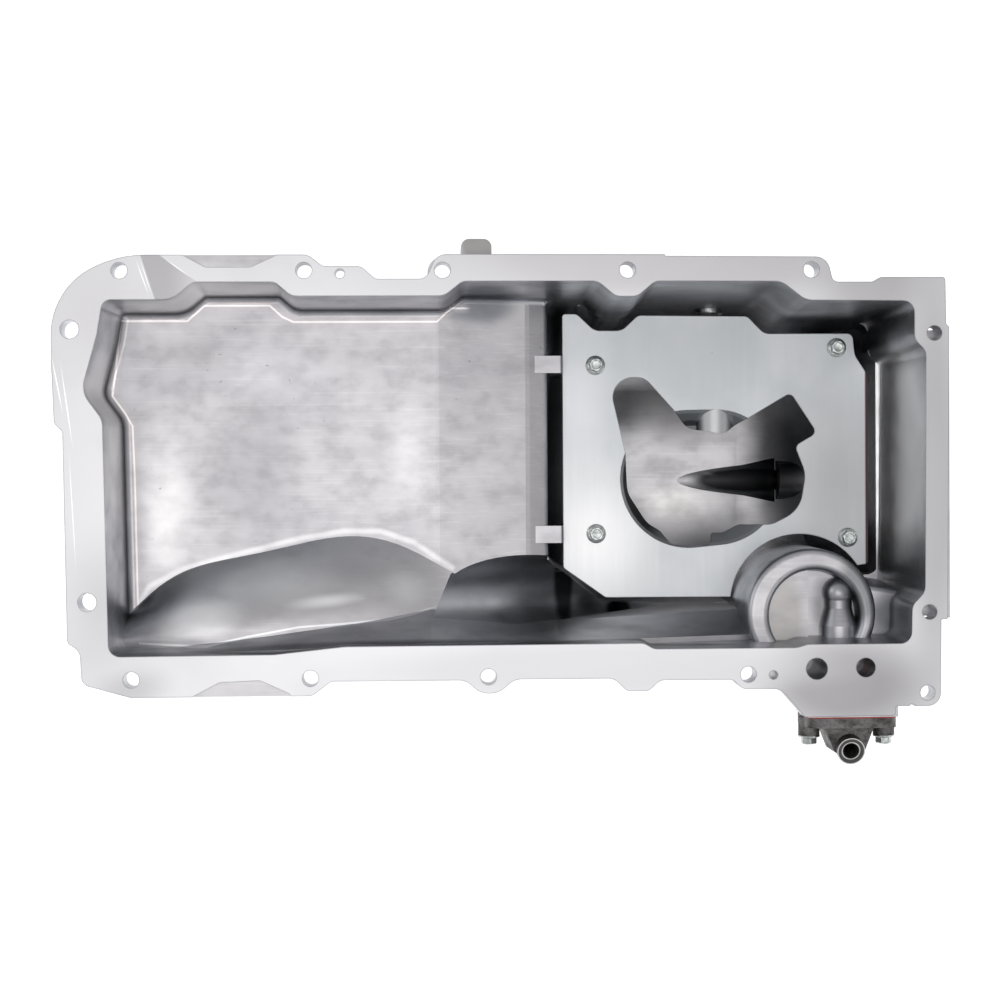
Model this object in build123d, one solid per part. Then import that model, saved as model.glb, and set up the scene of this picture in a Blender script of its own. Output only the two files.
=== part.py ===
"""Engine oil pan: a die-cast aluminium pan with a shallow front, a deep rear sump, a sheet-steel
baffle, a side port cover and the plugs and screws that go with them.

Millimetres. +Z is up and the pan rail is on top. +X runs to the rear, bellhousing end and +Y to the
passenger side. The origin is under the middle of the pan, on the surface that its skid ribs stand on.
Depths in the names below are measured down from the machined rail.
"""
import os
from math import radians, tan

from build123d import *

# Overall sizes
RAIL_Z = 206.0            # height of the machined rail above the skid ribs
WALL = 5.0                # cast wall
DRAFT = 3.0               # die draft of the inner and outer walls, degrees
FLANGE = 11.0             # thickness of the rail flange
BOSS_DEPTH = 16.0         # rail to the spot face under each rail screw
RAIL_HOLE_R = 4.8         # clearance for an M8 rail screw
REAR_HOLE_R = 4.5         # rear-corner screws
FRONT_HOLE_R = 5.5        # front-cover screws

# Depths below the rail
FRONT_FLOOR = 66.0        # shallow front floor
LIP_DEPTH = 79.0          # where that floor ends at the sump
UPPER_DEPTH = 104.0       # end of the upper part of the sump
SUMP_FLOOR = 197.0        # deep sump floor
SUMP_OUTSIDE = SUMP_FLOOR + WALL
BELOW = SUMP_OUTSIDE + 20 # clear below the whole pan
BAFFLE_DEPTH = 88.0       # top face of the baffle
PAD_DEPTH = 58.0          # oil filter pad
ROOF_DEPTH = 28.0         # top of the roof over the oil filter
POCKET_DEPTH = 42.0       # pocket in that roof

# Corners of the pan's mouth at the rail: x, y, corner radius
MOUTH = [
    (-241, 124, 6), (-199.5, 124, 16), (-187, 134.5, 7), (-138, 134.5, 7), (-128, 126, 9),
    (-36, 126, 10), (-25, 134.8, 8), (57, 134.8, 9), (68, 125.5, 9), (81, 125.5, 9),
    (92, 134.8, 9), (169, 134.5, 12), (184, 123, 12), (250.5, 122.5, 7), (250.5, 99, 8),
    (257.5, 92, 8), (256.5, -55, 9), (248.5, -63.5, 8), (248, -86.5, 7), (184, -86.5, 12),
    (178, -88.5, 12), (90, -88.5, 8), (84, -85, 8), (-97, -85.5, 40), (-140, -90, 40),
    (-238.8, -90.5, 7), (-241.5, 52, 12), (-254, 69, 15), (-244.5, 103, 20),
]

# Corners of the rail flange
RAIL = [
    (-230.5, 151, 70), (-257.5, 138.6, 45), (-271.9, 116, 45), (-271.9, 88, 10),
    (-270.4, 50, 4), (-265.4, 45, 3), (-263.5, -82, 4), (-256, -87, 8), (-255, -107, 6),
    (-226, -115.2, 8), (-117, -115.2, 7), (-105.5, -106.5, 6), (-24, -106.5, 12),
    (-16, -114.6, 13), (-4, -114.6, 13), (5, -106.2, 12), (65.5, -106.2, 9), (73.5, -114, 5),
    (87, -114, 5), (94, -107.4, 9), (138, -107.6, 5), (144.5, -113.5, 6), (167, -113.5, 9),
    (182.2, -131, 3), (238.1, -130.5, 2), (238.2, -124.7, 1), (265.8, -124.9, 8),
    (266.4, -71.8, 1), (270.4, -71.8, 1), (271.9, 106.5, 1), (270, 108.5, 1), (269.6, 137, 2),
    (229.5, 137, 4), (225.5, 134.2, 4), (200.6, 134.2, 4), (197, 149.5, 9), (98, 150, 0.5),
    (98, 151, 0.5), (-40.5, 151.2, 9), (-47, 136.3, 7), (-77.5, 136.3, 5), (-86, 144, 7),
    (-109, 144, 6), (-118, 151, 8),
]

# Screw places on the rail
TOP_ROW_Y = 141.5
BOTTOM_ROW_Y = -104.5
TOP_ROW_X = [-231.0, -120.5, -37.0, 75.2, 187.4]
BOTTOM_ROW_X = [-225.5, -118.0, -10.5, 147.8]
FRONT_SCREWS = [(-260.8, 106.3), (-251.4, -57.6)]
REAR_SCREWS = [(262.8, 102.8), (259.2, -67.4), (257.8, -116.7)]

# Front shelf: the cast floor between the mouth and the sump, as depths along X
SHELF_BEND_X = -40.0      # the floor starts to fall towards the sump here
SHELF_END_X = 31.0        # front wall of the sump
SHELF_SIDE = 220.0        # half-width of the blocks that shape the floor, wider than the pan
SHELF_START_X = -320.0    # clear in front of the pan
SHELF_LEAN = 7.0          # how far the sump's front wall leans back at its foot
FLOOR_ROUND = 4.0         # radius between the front floor and the walls

# Lower sump corners a little above UPPER_DEPTH: x, y, corner radius
SUMP = [
    (31.5, 129.9, 5), (59, 129.9, 9), (68.2, 120.6, 9), (80.8, 120.6, 9), (90.2, 129.9, 9),
    (167, 129.7, 12), (182.3, 118.1, 12), (245.6, 117.7, 8), (245.6, 97, 8), (252.6, 90, 8),
    (251.8, -49.5, 8), (205, -49.5, 4), (196, -64, 4), (71, -71.5, 16), (31.5, -38, 12),
]
SUMP_OVERLAP = 6.0        # how far the lower sump runs up into the upper one

# Rounded corners along the sump floor, seen from the side and from the end:
# x or y, depth, corner radius
SUMP_SIDE = [(30, 80, 0), (30, 197, 34), (213, 197, 60), (260, 80, 0)]
SUMP_END = [(-84, 80, 0), (-74, 197, 40), (126, 197, 52), (134, 80, 0)]

# Clearance hump over the driver-side axle, as stations along the pan:
# x, y where it leaves the floor, depth of its crest at the driver-side wall
HUMP_STATIONS = [
    (-252, -74, 46), (-229, -62, 42), (-206, -44.5, 38), (-168, -33.5, 37), (-132, -26, 40),
    (-97, -20.5, 45), (-68, -25, 51), (-45, -36, 58), (-18, -50, 65),
]
HUMP_CREST_Y = -84.0

# Bulge that leans the driver-side wall inward, at stations along the pan:
# x, (y, depth) of its top, (y, depth) of its bend, y of its foot
LEDGE_STATIONS = [
    (-215.0, (-90.5, 16.0), (-88.5, 42.0), -82.0),
    (-130.0, (-87.5, 8.0), (-78.5, 45.0), -72.0),
    (-45.0, (-84.5, 8.0), (-67.0, 58.0), -61.0),
    (35.0, (-84.5, 15.0), (-75.0, 62.0), -66.0),
    (172.0, (-83.0, 44.0), (-67.5, 66.0), -59.0),
]
LEDGE_BACK_Y = -130.0

# Sloping trough that drains the front floor into the sump
FUNNEL_X = 4.4            # where its axis passes through the front floor
FUNNEL_Y = -59.0
FUNNEL_R = 25.5
FUNNEL_SLOPE = 36.0       # degrees from level
FUNNEL_LENGTH = 220.0
FUNNEL_DEPTH = 150.0      # it opens into the sump above this
FUNNEL_RISE = 20.0        # how far it cuts up into the hump
FUNNEL_END = (-36.0, -54.0)   # it stops at an upright plane through here
FUNNEL_TURN = -23.0       # degrees that the plane turns from straight across

# Oil filter housing in the rear driver-side corner
FILTER_X = 192.5
FILTER_Y = -69.5
HOUSING_R = 40.3
HOUSING_DRAFT = 1.0
HOUSING_WALL = 4.0
RECESS_FLARE = 3.0        # how much wider the recess below is at its mouth
POCKET_X = 194.5
POCKET_Y = -71.0
POCKET_R = 28.5
RIM_ROUND = 4.0

# Oil galleries
GALLERY_IN = (189.7, -101.5)
GALLERY_IN_R = 6.5
GALLERY_OUT = (219.8, -101.0)
GALLERY_OUT_R = 5.8
PASSAGE_X = 211.4
PASSAGE_DEPTH = 40.0
PASSAGE_R = 4.0
CASING_END_Y = -57.3

PAD_PASSAGE_DEPTH = 47.0
CASING_R = 9.6            # round end of the passage casing
CASING_TUBE_R = 8.4
CASING_ROOT_R = 11.5
CASING_FLARE_Y = (-67.0, -78.0)   # the tube widens to its root between these
CASING_WALL_Y = -98.0
PLATE_X = (160.0, 191.4)  # flat casing beside the round one
PLATE_DEPTH = 36.0
NIPPLE_R = 11.0           # M22 filter thread
NIPPLE_BORE_R = 7.5
NIPPLE_REACH = 13.0       # how far it stands below the pad
NIPPLE_DEEP = 11.0        # how far it goes into the pad
NIPPLE_NECK_R = 10.0      # plain part inside the pad and just below it
NIPPLE_NECK = 1.2         # that part's length below the pad
NIPPLE_CHAMFER = 1.2
INLET_RING = (18.0, 27.0) # annular recess in the pad
INLET_RING_DEEP = 7.0

# Step in the corner beside the filter housing
CORNER_DEPTH = 48.0
CORNER_X = 232.6
CORNER_Y = -53.1
CORNER_TURN = -9.3        # degrees that its edge turns from the X axis
CORNER_DRAFT = 4.0
CORNER_REACH = 70.0

# Bosses and webs inside the sump
BOSS_R = 8.0
BOSS_LENGTH = 36.0        # the front bosses; the rear ones reach the sump floor
BOSS_SPREAD = 0.042       # how much a boss widens per millimetre of its length
RIB_WIDTH = 11.0
RIB_DEPTH = 76.5          # top of the ribs at the front of the sump
REAR_WALL_X = 258.0       # beyond the inside of the rear wall

# Screws: flange radius, width across flats and height of each head
BAFFLE_HEAD = (6.3, 8.6, 6.5)
COVER_HEAD = (6.8, 9.0, 5.6)
DRAIN_HEAD = (11.5, 17.0, 11.0)
LEVEL_HEAD = (14.0, 22.0, 9.0)
BAFFLE_SCREW_LONG = 13.0
COVER_SCREW_LONG = 26.0
SCREW_R = 3.0             # M6, in the baffle and in the port cover
THREAD_GAP = 0.05         # between a plain thread and its hole

# Baffle
SHEET = 1.5
BAFFLE_SCREWS = [(63.0, 89.0), (63.0, -20.5), (221.0, 100.0), (228.0, -24.0)]
BAFFLE_LIP = 9.0          # turned-down front edge
LIP_RELIEF = 3.0          # how much shorter that edge is at each end
LIP_NOTCH = 2.5           # room that it leaves on each side of a rib
BAFFLE_GAP = 1.0          # between that edge and the ribs in front of it
BAFFLE = [
    (41.6, 122.3, 2), (51, 122.3, 5), (62.5, 111.4, 9), (80.5, 111.4, 9), (91, 121.3, 5),
    (162.5, 120.6, 5), (173.5, 109.2, 9), (231.5, 109.2, 4), (233, 95, 12), (241.5, 82, 7),
    (241.3, -41.2, 2), (232, -42.5, 0.5), (196, -70, 0.5), (151.5, -62.2, 0.5), (69, -62, 2),
    (41.6, -42.5, 2),
]
BAFFLE_ARC = (196.0, -67.0)   # its edge clears the filter housing along this circle
BAFFLE_ARC_R = 45.5
DISH = [(123.8, 14.8, 44.9), (141.0, 15.8, 44.2)]   # the two rounds that the dish's shape wraps
DISH_DEPTH = 10.0
DISH_SLOPE = 45.0
DISH_GROW = 0.7           # its outside is this much wider than its inside
SWELL_X = 142.0           # half-round swell across the dish's passenger side
SWELL_R = 12.0
SWELL_Y = (38.0, 62.0)
PICKUP_WINDOW = [
    (71, 81, 13), (95, 81, 11), (124.5, 48, 12), (147, 43.8, 8), (156.5, 50.6, 5), (190.8, 70.8, 4),
    (208, 44.5, 4), (193.5, 36, 4), (200.5, 18, 20), (196.5, -6, 20), (178, -15.2, 14),
    (158, -15.2, 6), (147, -20.5, 4), (139.5, -20.5, 2), (138, -28.6, 4), (112.5, -28.2, 5),
    (105.5, -19, 3), (97, -14, 14), (84, 6, 16), (82.5, 32, 20),
]

# Drain
DRAIN_WASHER = (11.0, 7.2)   # outer and inner radius
DRAIN_Y = 14.0
DRAIN_DEPTH = 190.0
DRAIN_BOSS_R = 13.5
DRAIN_INNER_X = 199.0
DRAIN_THREAD_R = 7.0      # M14
DRAIN_ROOT_X = 222.0
TROUGH_TIP_X = 130.8
TROUGH_R = 16.0
TROUGH_SLOPE = 5.0
DRAIN_PLUG_LONG = 25.0
WASHER = 1.6               # both plug washers
DRAIN_FACE_X = 231.0

# Rear face
REAR_FACE_X = 271.9
REAR_PLATE_THICK = 16.0
REAR_PLATE_DEPTH = 62.0
REAR_PLATE_Y = (-71.0, 106.0)
REAR_RIB_Y = (-30.0, 8.0, 46.0, 84.0)
REAR_RIB = [(267.9, 52, 0), (267.9, 62, 4), (237, 165, 8), (224, 172, 0), (249, 52, 0)]  # x, depth, radius
BELL_HOLES = [(-54.0, 40.0), (88.0, 40.0)]
BELL_HOLE_R = 5.0         # M10
BELL_HOLE_LONG = 11.0

# Cast lug on the passenger side
LUG_X = (-25.5, -6.8)
LUG_START_Y = 134.0
LUG_END_Y = 162.0
LUG_DEPTH = (13.0, 34.0)

# Rail details
SPOT_R = 9.0
EDGE_NOTCH = (248.2, -125.2, 1.6)
EDGE_POCKET_DEPTH = 2.0
EDGE_POCKETS = [
    [(-196, 156, 0), (-192.5, 150.6, 1), (-179.5, 143.6, 5), (-152.5, 143.6, 5), (-137.5, 150.6, 1),
     (-134, 156, 0)],
    [(-193, -120, 0), (-188, -114.6, 1), (-172.5, -106.6, 5), (-148.5, -105.6, 5), (-131, -113.6, 1),
     (-127, -120, 0)],
]
RIVET_HOLES = [(-98.9, 139.5, 2.8, 14.0), (163.1, -105.0, 2.6, 8.0)]

# Ribs on the underside: y and width of each
SKID_RIBS = [(-44.0, 9.0), (14.0, 26.0), (98.0, 9.0)]
SKID_RIB = [(24, 36, 0), (42, 0, 12), (196, 0, 12), (222, 36, 0)]   # x, height, corner radius
FLOOR_RIB_Y = (-18.0, 34.0, 86.0)
FLOOR_RIB_START_X = -226.0
FLOOR_RIB_WIDTH = 5.0
FLOOR_RIB_HEIGHT = 6.0

# Level-sensor port in the passenger-side wall
LEVEL_X = 143.0
LEVEL_DEPTH = 129.0
LEVEL_R = 9.5             # M20 less its thread
LEVEL_BOSS_R = 15.0
LEVEL_FACE_Y = 139.0
LEVEL_PLUG_LONG = 16.0
LEVEL_WASHER = (13.5, 9.7)
LEVEL_BOSS_LONG = 16.0
LEVEL_BORE_LONG = 22.0

# Port cover on the driver-side pad
PAD_FACE_Y = -131.8
BLOCK_BACK_Y = -84.0
PAD_X = (185.5, 240.8)
PAD_TOP = 5.0
PAD_BOTTOM = 47.0
COVER_SCREW_X = (189.6, 236.5)
COVER_DEPTH = 26.0
GASKET = 0.8
PORT_X = 213.2
PORT_Y = -153.7
PORT_FACE_DEPTH = 12.0
PORT_R = 8.6
PORT_BORE_R = 4.9
COVER_PLATE = 6.0
COVER_CORNER_R = 7.0
COVER_SEAT_Y = -145.0
COVER_BOSS_R = 6.6
COVER_HOLE_R = 3.4
NECK_ROOT = 16.0          # half-width of the neck at the plate and at the port
NECK_TIP = 9.0
NECK_TALL = 26.0
NECK_ROUND = 3.0
NECK_DEPTH = 17.0         # its top
NECK_END_Y = -155.7
COUNTERBORE_R = 6.0
COUNTERBORE_DEEP = 0.8
PORT_LONG = 34.0
PORT_BORE_DEEP = 28.0
PORT_LEAN = 14.5          # degrees that the port leans away from the pan


def level(depth):
    """Height of a depth measured down from the rail."""
    return RAIL_Z - depth


def rounded_face(corners, z):
    """Flat face at height z with a rounded corner at each x, y, radius."""
    points = [(x, y) for x, y, _ in corners]
    radii = [r for _, _, r in corners]
    with BuildSketch(Plane.XY.offset(z)) as sketch:
        with BuildLine():
            FilletPolyline(*points, radius=radii, close=True)
        make_face()
    return sketch.sketch


def side_profile(corners, plane=Plane.XZ):
    """Upright face from x (or y), height and corner radius."""
    points = [(a, b) for a, b, _ in corners]
    radii = [r for _, _, r in corners]
    with BuildSketch(plane) as sketch:
        with BuildLine():
            FilletPolyline(*points, radius=radii, close=True)
        make_face()
    return sketch.sketch


def upright(x, y, top, bottom, radius, foot_radius=None):
    """Round post or hole between two depths, at x, y; with foot_radius it tapers."""
    middle = Pos(x, y, level(0.5 * (top + bottom)))
    if foot_radius:
        return middle * Cone(foot_radius, radius, bottom - top)
    return middle * Cylinder(radius, bottom - top)


def shelf(grow=0.0):
    """Block under the front floor: its top is the floor and its end is the front wall of the sump."""
    profile = [
        (SHELF_START_X, level(FRONT_FLOOR + grow), 0),
        (SHELF_BEND_X, level(FRONT_FLOOR + grow), 15),
        (SHELF_END_X - 13, level(LIP_DEPTH - 4 + grow), 20),
        (SHELF_END_X - grow, level(LIP_DEPTH + grow), 4),
        (SHELF_END_X + SHELF_LEAN - grow, level(BELOW), 0),
        (SHELF_START_X, level(BELOW), 0),
    ]
    return extrude(side_profile(profile), amount=SHELF_SIDE, both=True)


def round_floor(space, radius):
    """Round the foot of the walls along the front floor."""
    floors = [f for f in space.faces() if f.normal_at().Z < -0.85 and level(90) < f.center().Z < level(60)]
    edges = [e for f in floors for e in f.edges()]
    foot = [e for e in edges if sum(e.is_same(other) for other in edges) == 1]
    foot = [e for e in foot if e.length < 100 or abs(e.center().X - SHELF_END_X) > 10]
    return fillet(foot, radius=radius)


def funnel(grow=0.0):
    """Round trough that slopes down from the front floor into the sump."""
    slope = Pos(FUNNEL_X, FUNNEL_Y, level(FRONT_FLOOR)) * Rot(0, FUNNEL_SLOPE, 0)
    bar = slope * (Rot(0, 90, 0) * Cylinder(FUNNEL_R + grow, FUNNEL_LENGTH + 2 * grow))
    depth = FUNNEL_DEPTH + grow
    top = FRONT_FLOOR - FUNNEL_RISE
    slab = Box(FUNNEL_LENGTH, 4 * FUNNEL_R, depth - top)
    bar &= Pos(FUNNEL_X, FUNNEL_Y, level((top + depth) / 2)) * slab
    end = Pos(FUNNEL_LENGTH - grow, 0, 0) * Box(2 * FUNNEL_LENGTH, 2 * FUNNEL_LENGTH, 2 * RAIL_Z)
    return bar & (Pos(*FUNNEL_END, 0) * Rot(0, 0, FUNNEL_TURN) * end)


def hump(drop=0.0):
    """Raised clearance hump beside the driver-side wall, lofted through its stations."""
    sections = []
    for x, leave_y, crest in HUMP_STATIONS:
        width = leave_y - HUMP_CREST_Y
        rise = FRONT_FLOOR - crest
        floor_z = level(FRONT_FLOOR + drop)
        crest_z = level(crest + drop)
        with BuildSketch(Plane.YZ.offset(x)) as sketch:
            with BuildLine():
                Bezier(
                    (leave_y, floor_z),
                    (leave_y - 0.36 * width, floor_z + 0.62 * rise),
                    (leave_y - 0.62 * width, crest_z),
                    (HUMP_CREST_Y, crest_z),
                )
                Polyline(
                    (HUMP_CREST_Y, crest_z),
                    (HUMP_CREST_Y - 30, crest_z),
                    (HUMP_CREST_Y - 30, floor_z - 25),
                    (leave_y, floor_z - 25),
                    (leave_y, floor_z),
                )
            make_face()
        sections.append(sketch.sketch.faces()[0])
    return loft(sections)


def driver_ledge(grow=0.0):
    """Bulge that leans the driver-side wall inward, lofted through its stations."""
    foot_z = level(BELOW)
    faces = []
    for x, (top_y, top_depth), (mid_y, mid_depth), foot_y in LEDGE_STATIONS:
        with BuildSketch(Plane.YZ.offset(x)) as sketch:
            with BuildLine():
                Polyline(
                    (LEDGE_BACK_Y, level(top_depth + grow)),
                    (top_y - grow, level(top_depth + grow)),
                    (mid_y - grow, level(mid_depth + grow)),
                    (foot_y - grow, foot_z),
                    (LEDGE_BACK_Y, foot_z),
                    close=True,
                )
            make_face()
        faces.append(sketch.sketch.faces()[0])
    return loft(faces, ruled=True)


def housing():
    """Roof over the oil filter, as it stands inside the pan: a round rim with a pocket in its top."""
    foot_r = HOUSING_R + (BELOW - ROOF_DEPTH) * tan(radians(HOUSING_DRAFT))
    post = upright(FILTER_X, FILTER_Y, ROOF_DEPTH, BELOW, HOUSING_R, foot_r)
    pocket = upright(POCKET_X, POCKET_Y, ROOF_DEPTH - 5, POCKET_DEPTH, POCKET_R + 1, POCKET_R - 1)
    post = post - pocket
    rim = [e for e in post.edges().filter_by(GeomType.CIRCLE) if abs(e.center().Z - level(ROOF_DEPTH)) < 0.01]
    return fillet(rim, radius=RIM_ROUND)


def tub(grow=0.0):
    """Inside of the pan; with grow, the outside of its walls."""
    mouth = rounded_face(MOUTH, level(0))
    if grow:
        mouth = offset(mouth, amount=grow, kind=Kind.ARC)
    upper = extrude(mouth.faces()[0], amount=-(UPPER_DEPTH + grow), taper=DRAFT)
    upper -= shelf(grow)
    if not grow:
        upper = round_floor(upper, FLOOR_ROUND)
    upper -= driver_ledge(grow)
    upper -= hump(grow)
    upper += funnel(grow)
    return upper + lower_sump(grow)


def lower_sump(grow):
    """Deep part of the sump: a drafted block trimmed by the rounded corners along its floor."""
    start = UPPER_DEPTH - SUMP_OVERLAP
    outline = rounded_face(SUMP, level(start))
    side = side_profile([(x, level(depth), r) for x, depth, r in SUMP_SIDE], Plane.XZ)
    end = side_profile([(y, level(depth), r) for y, depth, r in SUMP_END], Plane.YZ)
    if grow:
        outline = offset(outline, amount=grow, kind=Kind.ARC)
        side = offset(side, amount=grow, kind=Kind.ARC)
        end = offset(end, amount=grow, kind=Kind.ARC)
    block = extrude(outline.faces()[0], amount=-(SUMP_FLOOR + 10 - start), taper=DRAFT)
    block &= extrude(side.faces()[0], amount=2 * REAR_WALL_X, both=True)
    return block & extrude(end.faces()[0], amount=2 * REAR_WALL_X, both=True)


def cavity():
    """Everything hollow inside the pan, from the rail down."""
    space = tub()
    space -= housing()
    space -= corner_step()
    for x, y in BAFFLE_SCREWS:
        space -= baffle_boss(x, y)
    space -= drain_boss()
    space += drain_trough()
    space -= passage_casing()
    return space


def corner_step(inset=0.0):
    """Step in the rear driver-side corner, beside the filter housing; with inset, the hollow under it."""
    depth = CORNER_DEPTH + inset
    lean = (BELOW - depth) * tan(radians(CORNER_DRAFT))
    profile = [
        (-CORNER_REACH, level(depth), 0), (-inset, level(depth), 4 if not inset else 0),
        (lean - inset, level(BELOW), 0), (-CORNER_REACH, level(BELOW), 0),
    ]
    block = extrude(side_profile(profile, Plane.YZ), amount=CORNER_REACH / 2, both=True)
    return Pos(CORNER_X, CORNER_Y, 0) * (Rot(0, 0, CORNER_TURN) * block)


def baffle_boss(x, y):
    """Post that carries one baffle screw: on the sump floor at the rear, on a rib at the front."""
    seat = BAFFLE_DEPTH + SHEET
    at_front = x < SHELF_END_X + BAFFLE[0][0]
    foot = seat + BOSS_LENGTH if at_front else SUMP_FLOOR
    post = upright(x, y, seat, foot, BOSS_R, BOSS_R + BOSS_SPREAD * (foot - seat))
    if not at_front:
        return post
    front_lip = BAFFLE[0][0] - BAFFLE_GAP
    rib = [
        (SHELF_END_X - 14, level(RIB_DEPTH), 0), (front_lip, level(RIB_DEPTH), 1.5),
        (front_lip, level(seat), 0), (x, level(seat), 0), (x, level(foot), 0),
        (SHELF_END_X - 14, level(foot + BOSS_LENGTH), 0),
    ]
    return post + extrude(side_profile(rib, Plane.XZ.offset(-y)), amount=RIB_WIDTH / 2, both=True)


def drain_boss():
    """Round boss on the sump's rear wall that the drain plug screws through."""
    return end_drill(DRAIN_Y, DRAIN_DEPTH, DRAIN_INNER_X, DRAIN_ROOT_X, DRAIN_BOSS_R)


def drain_trough():
    """Groove in the sump floor that deepens towards the drain."""
    length = DRAIN_INNER_X - TROUGH_TIP_X
    bar = Rot(0, 90, 0) * Pos(0, 0, length / 2) * Cylinder(TROUGH_R, length)
    return Pos(TROUGH_TIP_X, DRAIN_Y, level(SUMP_FLOOR) + TROUGH_R) * Rot(0, TROUGH_SLOPE, 0) * bar


def passage_casing():
    """Cast casings of the two filter passages, as they stand in the pocket over the filter."""
    run = CASING_END_Y - CASING_WALL_Y
    tube = Rot(90, 0, 0) * Cylinder(CASING_TUBE_R, run)
    shapes = Pos(PASSAGE_X, CASING_END_Y - run / 2, level(PASSAGE_DEPTH)) * tube
    shapes += Pos(PASSAGE_X, CASING_END_Y, level(PASSAGE_DEPTH)) * Sphere(CASING_R)
    flare_start, flare_end = CASING_FLARE_Y
    flare = Rot(90, 0, 0) * Cone(CASING_TUBE_R, CASING_ROOT_R, flare_start - flare_end)
    shapes += Pos(PASSAGE_X, (flare_start + flare_end) / 2, level(PASSAGE_DEPTH)) * flare
    root = Rot(90, 0, 0) * Cylinder(CASING_ROOT_R, flare_end - CASING_WALL_Y)
    shapes += Pos(PASSAGE_X, (flare_end + CASING_WALL_Y) / 2, level(PASSAGE_DEPTH)) * root
    plate_foot = POCKET_DEPTH + HOUSING_WALL
    plate = Box(PLATE_X[1] - PLATE_X[0], 2 * POCKET_R, plate_foot - PLATE_DEPTH)
    plate = Pos(sum(PLATE_X) / 2, FILTER_Y, level((plate_foot + PLATE_DEPTH) / 2)) * plate
    reach = upright(POCKET_X, POCKET_Y, ROOF_DEPTH, POCKET_DEPTH + 2 * HOUSING_WALL, POCKET_R + HOUSING_WALL)
    return (shapes + plate) & reach


def outside():
    """Outside of the pan before its hollows are cut."""
    body = tub(WALL)
    under_corner = Pos(CORNER_X + CORNER_REACH / 2, 0, 0) * Box(CORNER_REACH, 2 * SHELF_SIDE, 2 * RAIL_Z)
    body -= corner_step(WALL) & under_corner
    body += upright(FILTER_X, FILTER_Y, FLANGE - 1, PAD_DEPTH, HOUSING_R - 1)
    body += gallery_block()
    body += rear_plate()
    body += lug()
    body += level_boss()
    body += drain_face()
    for rib in skid_ribs():
        body += rib
    return body - filter_recess()


def filter_recess():
    """Space under the housing that the oil filter stands in, open below."""
    radius = HOUSING_R - HOUSING_WALL
    return upright(FILTER_X, FILTER_Y, PAD_DEPTH, BELOW, radius, radius + RECESS_FLARE)


def gallery_block():
    """Thick pad under the rail that holds the oil galleries and carries the port cover."""
    width = PAD_X[1] - PAD_X[0]
    height = PAD_BOTTOM - PAD_TOP
    depth = BLOCK_BACK_Y - PAD_FACE_Y
    block = Pos(sum(PAD_X) / 2, (BLOCK_BACK_Y + PAD_FACE_Y) / 2, level((PAD_TOP + PAD_BOTTOM) / 2))
    return block * Box(width, depth, height)


def rear_plate():
    """Upright face at the rear that bolts to the bellhousing."""
    profile = [
        (REAR_PLATE_Y[0], level(0.5), 0), (REAR_PLATE_Y[1], level(0.5), 0),
        (REAR_PLATE_Y[1], level(REAR_PLATE_DEPTH), 14), (REAR_PLATE_Y[0], level(REAR_PLATE_DEPTH), 14),
    ]
    face = side_profile(profile, Plane.YZ.offset(REAR_FACE_X - REAR_PLATE_THICK))
    plate = extrude(face, amount=REAR_PLATE_THICK)
    for y in REAR_RIB_Y:
        rib = side_profile([(x, level(depth), r) for x, depth, r in REAR_RIB], Plane.XZ.offset(-y))
        plate += extrude(rib, amount=RIB_WIDTH / 4, both=True)
    return plate


def level_boss():
    """Boss outside the passenger-side sump wall for the level port."""
    start = LEVEL_FACE_Y - LEVEL_BOSS_LONG
    return cross_drill(LEVEL_X, LEVEL_DEPTH, start, LEVEL_FACE_Y, LEVEL_BOSS_R)


def drain_face():
    """Boss outside the rear sump wall for the drain plug."""
    return end_drill(DRAIN_Y, DRAIN_DEPTH - 2, DRAIN_INNER_X, DRAIN_FACE_X, DRAIN_BOSS_R)


def lug():
    """Rough cast lug on the passenger side."""
    block = Box(LUG_X[1] - LUG_X[0], LUG_END_Y - LUG_START_Y, LUG_DEPTH[1] - LUG_DEPTH[0])
    block = fillet(block.edges().filter_by(Axis.Z).group_by(Axis.Y)[-1], radius=5)
    middle = Pos(sum(LUG_X) / 2, (LUG_START_Y + LUG_END_Y) / 2, level(sum(LUG_DEPTH) / 2))
    return middle * block


def rail():
    """Machined rail flange with its bosses and the two cast pockets at its edge."""
    plate = extrude(rounded_face(RAIL, level(0)), amount=-FLANGE)
    for x, y in screw_places():
        plate += upright(x, y, FLANGE - 1, BOSS_DEPTH, SPOT_R)
    for corners in EDGE_POCKETS:
        plate -= extrude(rounded_face(corners, level(-1)), amount=-(EDGE_POCKET_DEPTH + 1))
    notch_x, notch_y, notch_r = EDGE_NOTCH
    return plate - upright(notch_x, notch_y, -1, FLANGE + 1, notch_r)


def rail_rows():
    """Centres of the M8 holes along the two long sides."""
    return [(x, TOP_ROW_Y) for x in TOP_ROW_X] + [(x, BOTTOM_ROW_Y) for x in BOTTOM_ROW_X]


def screw_places():
    """Centres of all the upright screw holes in the rail."""
    return rail_rows() + FRONT_SCREWS + REAR_SCREWS


def skid_ribs():
    """Ribs under the sump floor that the pan stands on, and the ribs under the front floor."""
    ribs = []
    for y, width in SKID_RIBS:
        ribs.append(extrude(side_profile(SKID_RIB, Plane.XZ.offset(-y)), amount=width / 2, both=True))
    floor_length = SHELF_END_X - FLOOR_RIB_START_X
    depth = FRONT_FLOOR + WALL + FLOOR_RIB_HEIGHT / 2
    for y in FLOOR_RIB_Y:
        rib = Box(floor_length, FLOOR_RIB_WIDTH, 2 * FLOOR_RIB_HEIGHT)
        ribs.append(Pos(FLOOR_RIB_START_X + floor_length / 2, y, level(depth - FLOOR_RIB_HEIGHT / 2)) * rib)
    return ribs


def cross_drill(x, depth, start_y, end_y, radius):
    """Level hole along Y."""
    middle = Pos(x, 0.5 * (start_y + end_y), level(depth))
    return middle * (Rot(90, 0, 0) * Cylinder(radius, abs(end_y - start_y)))


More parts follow.
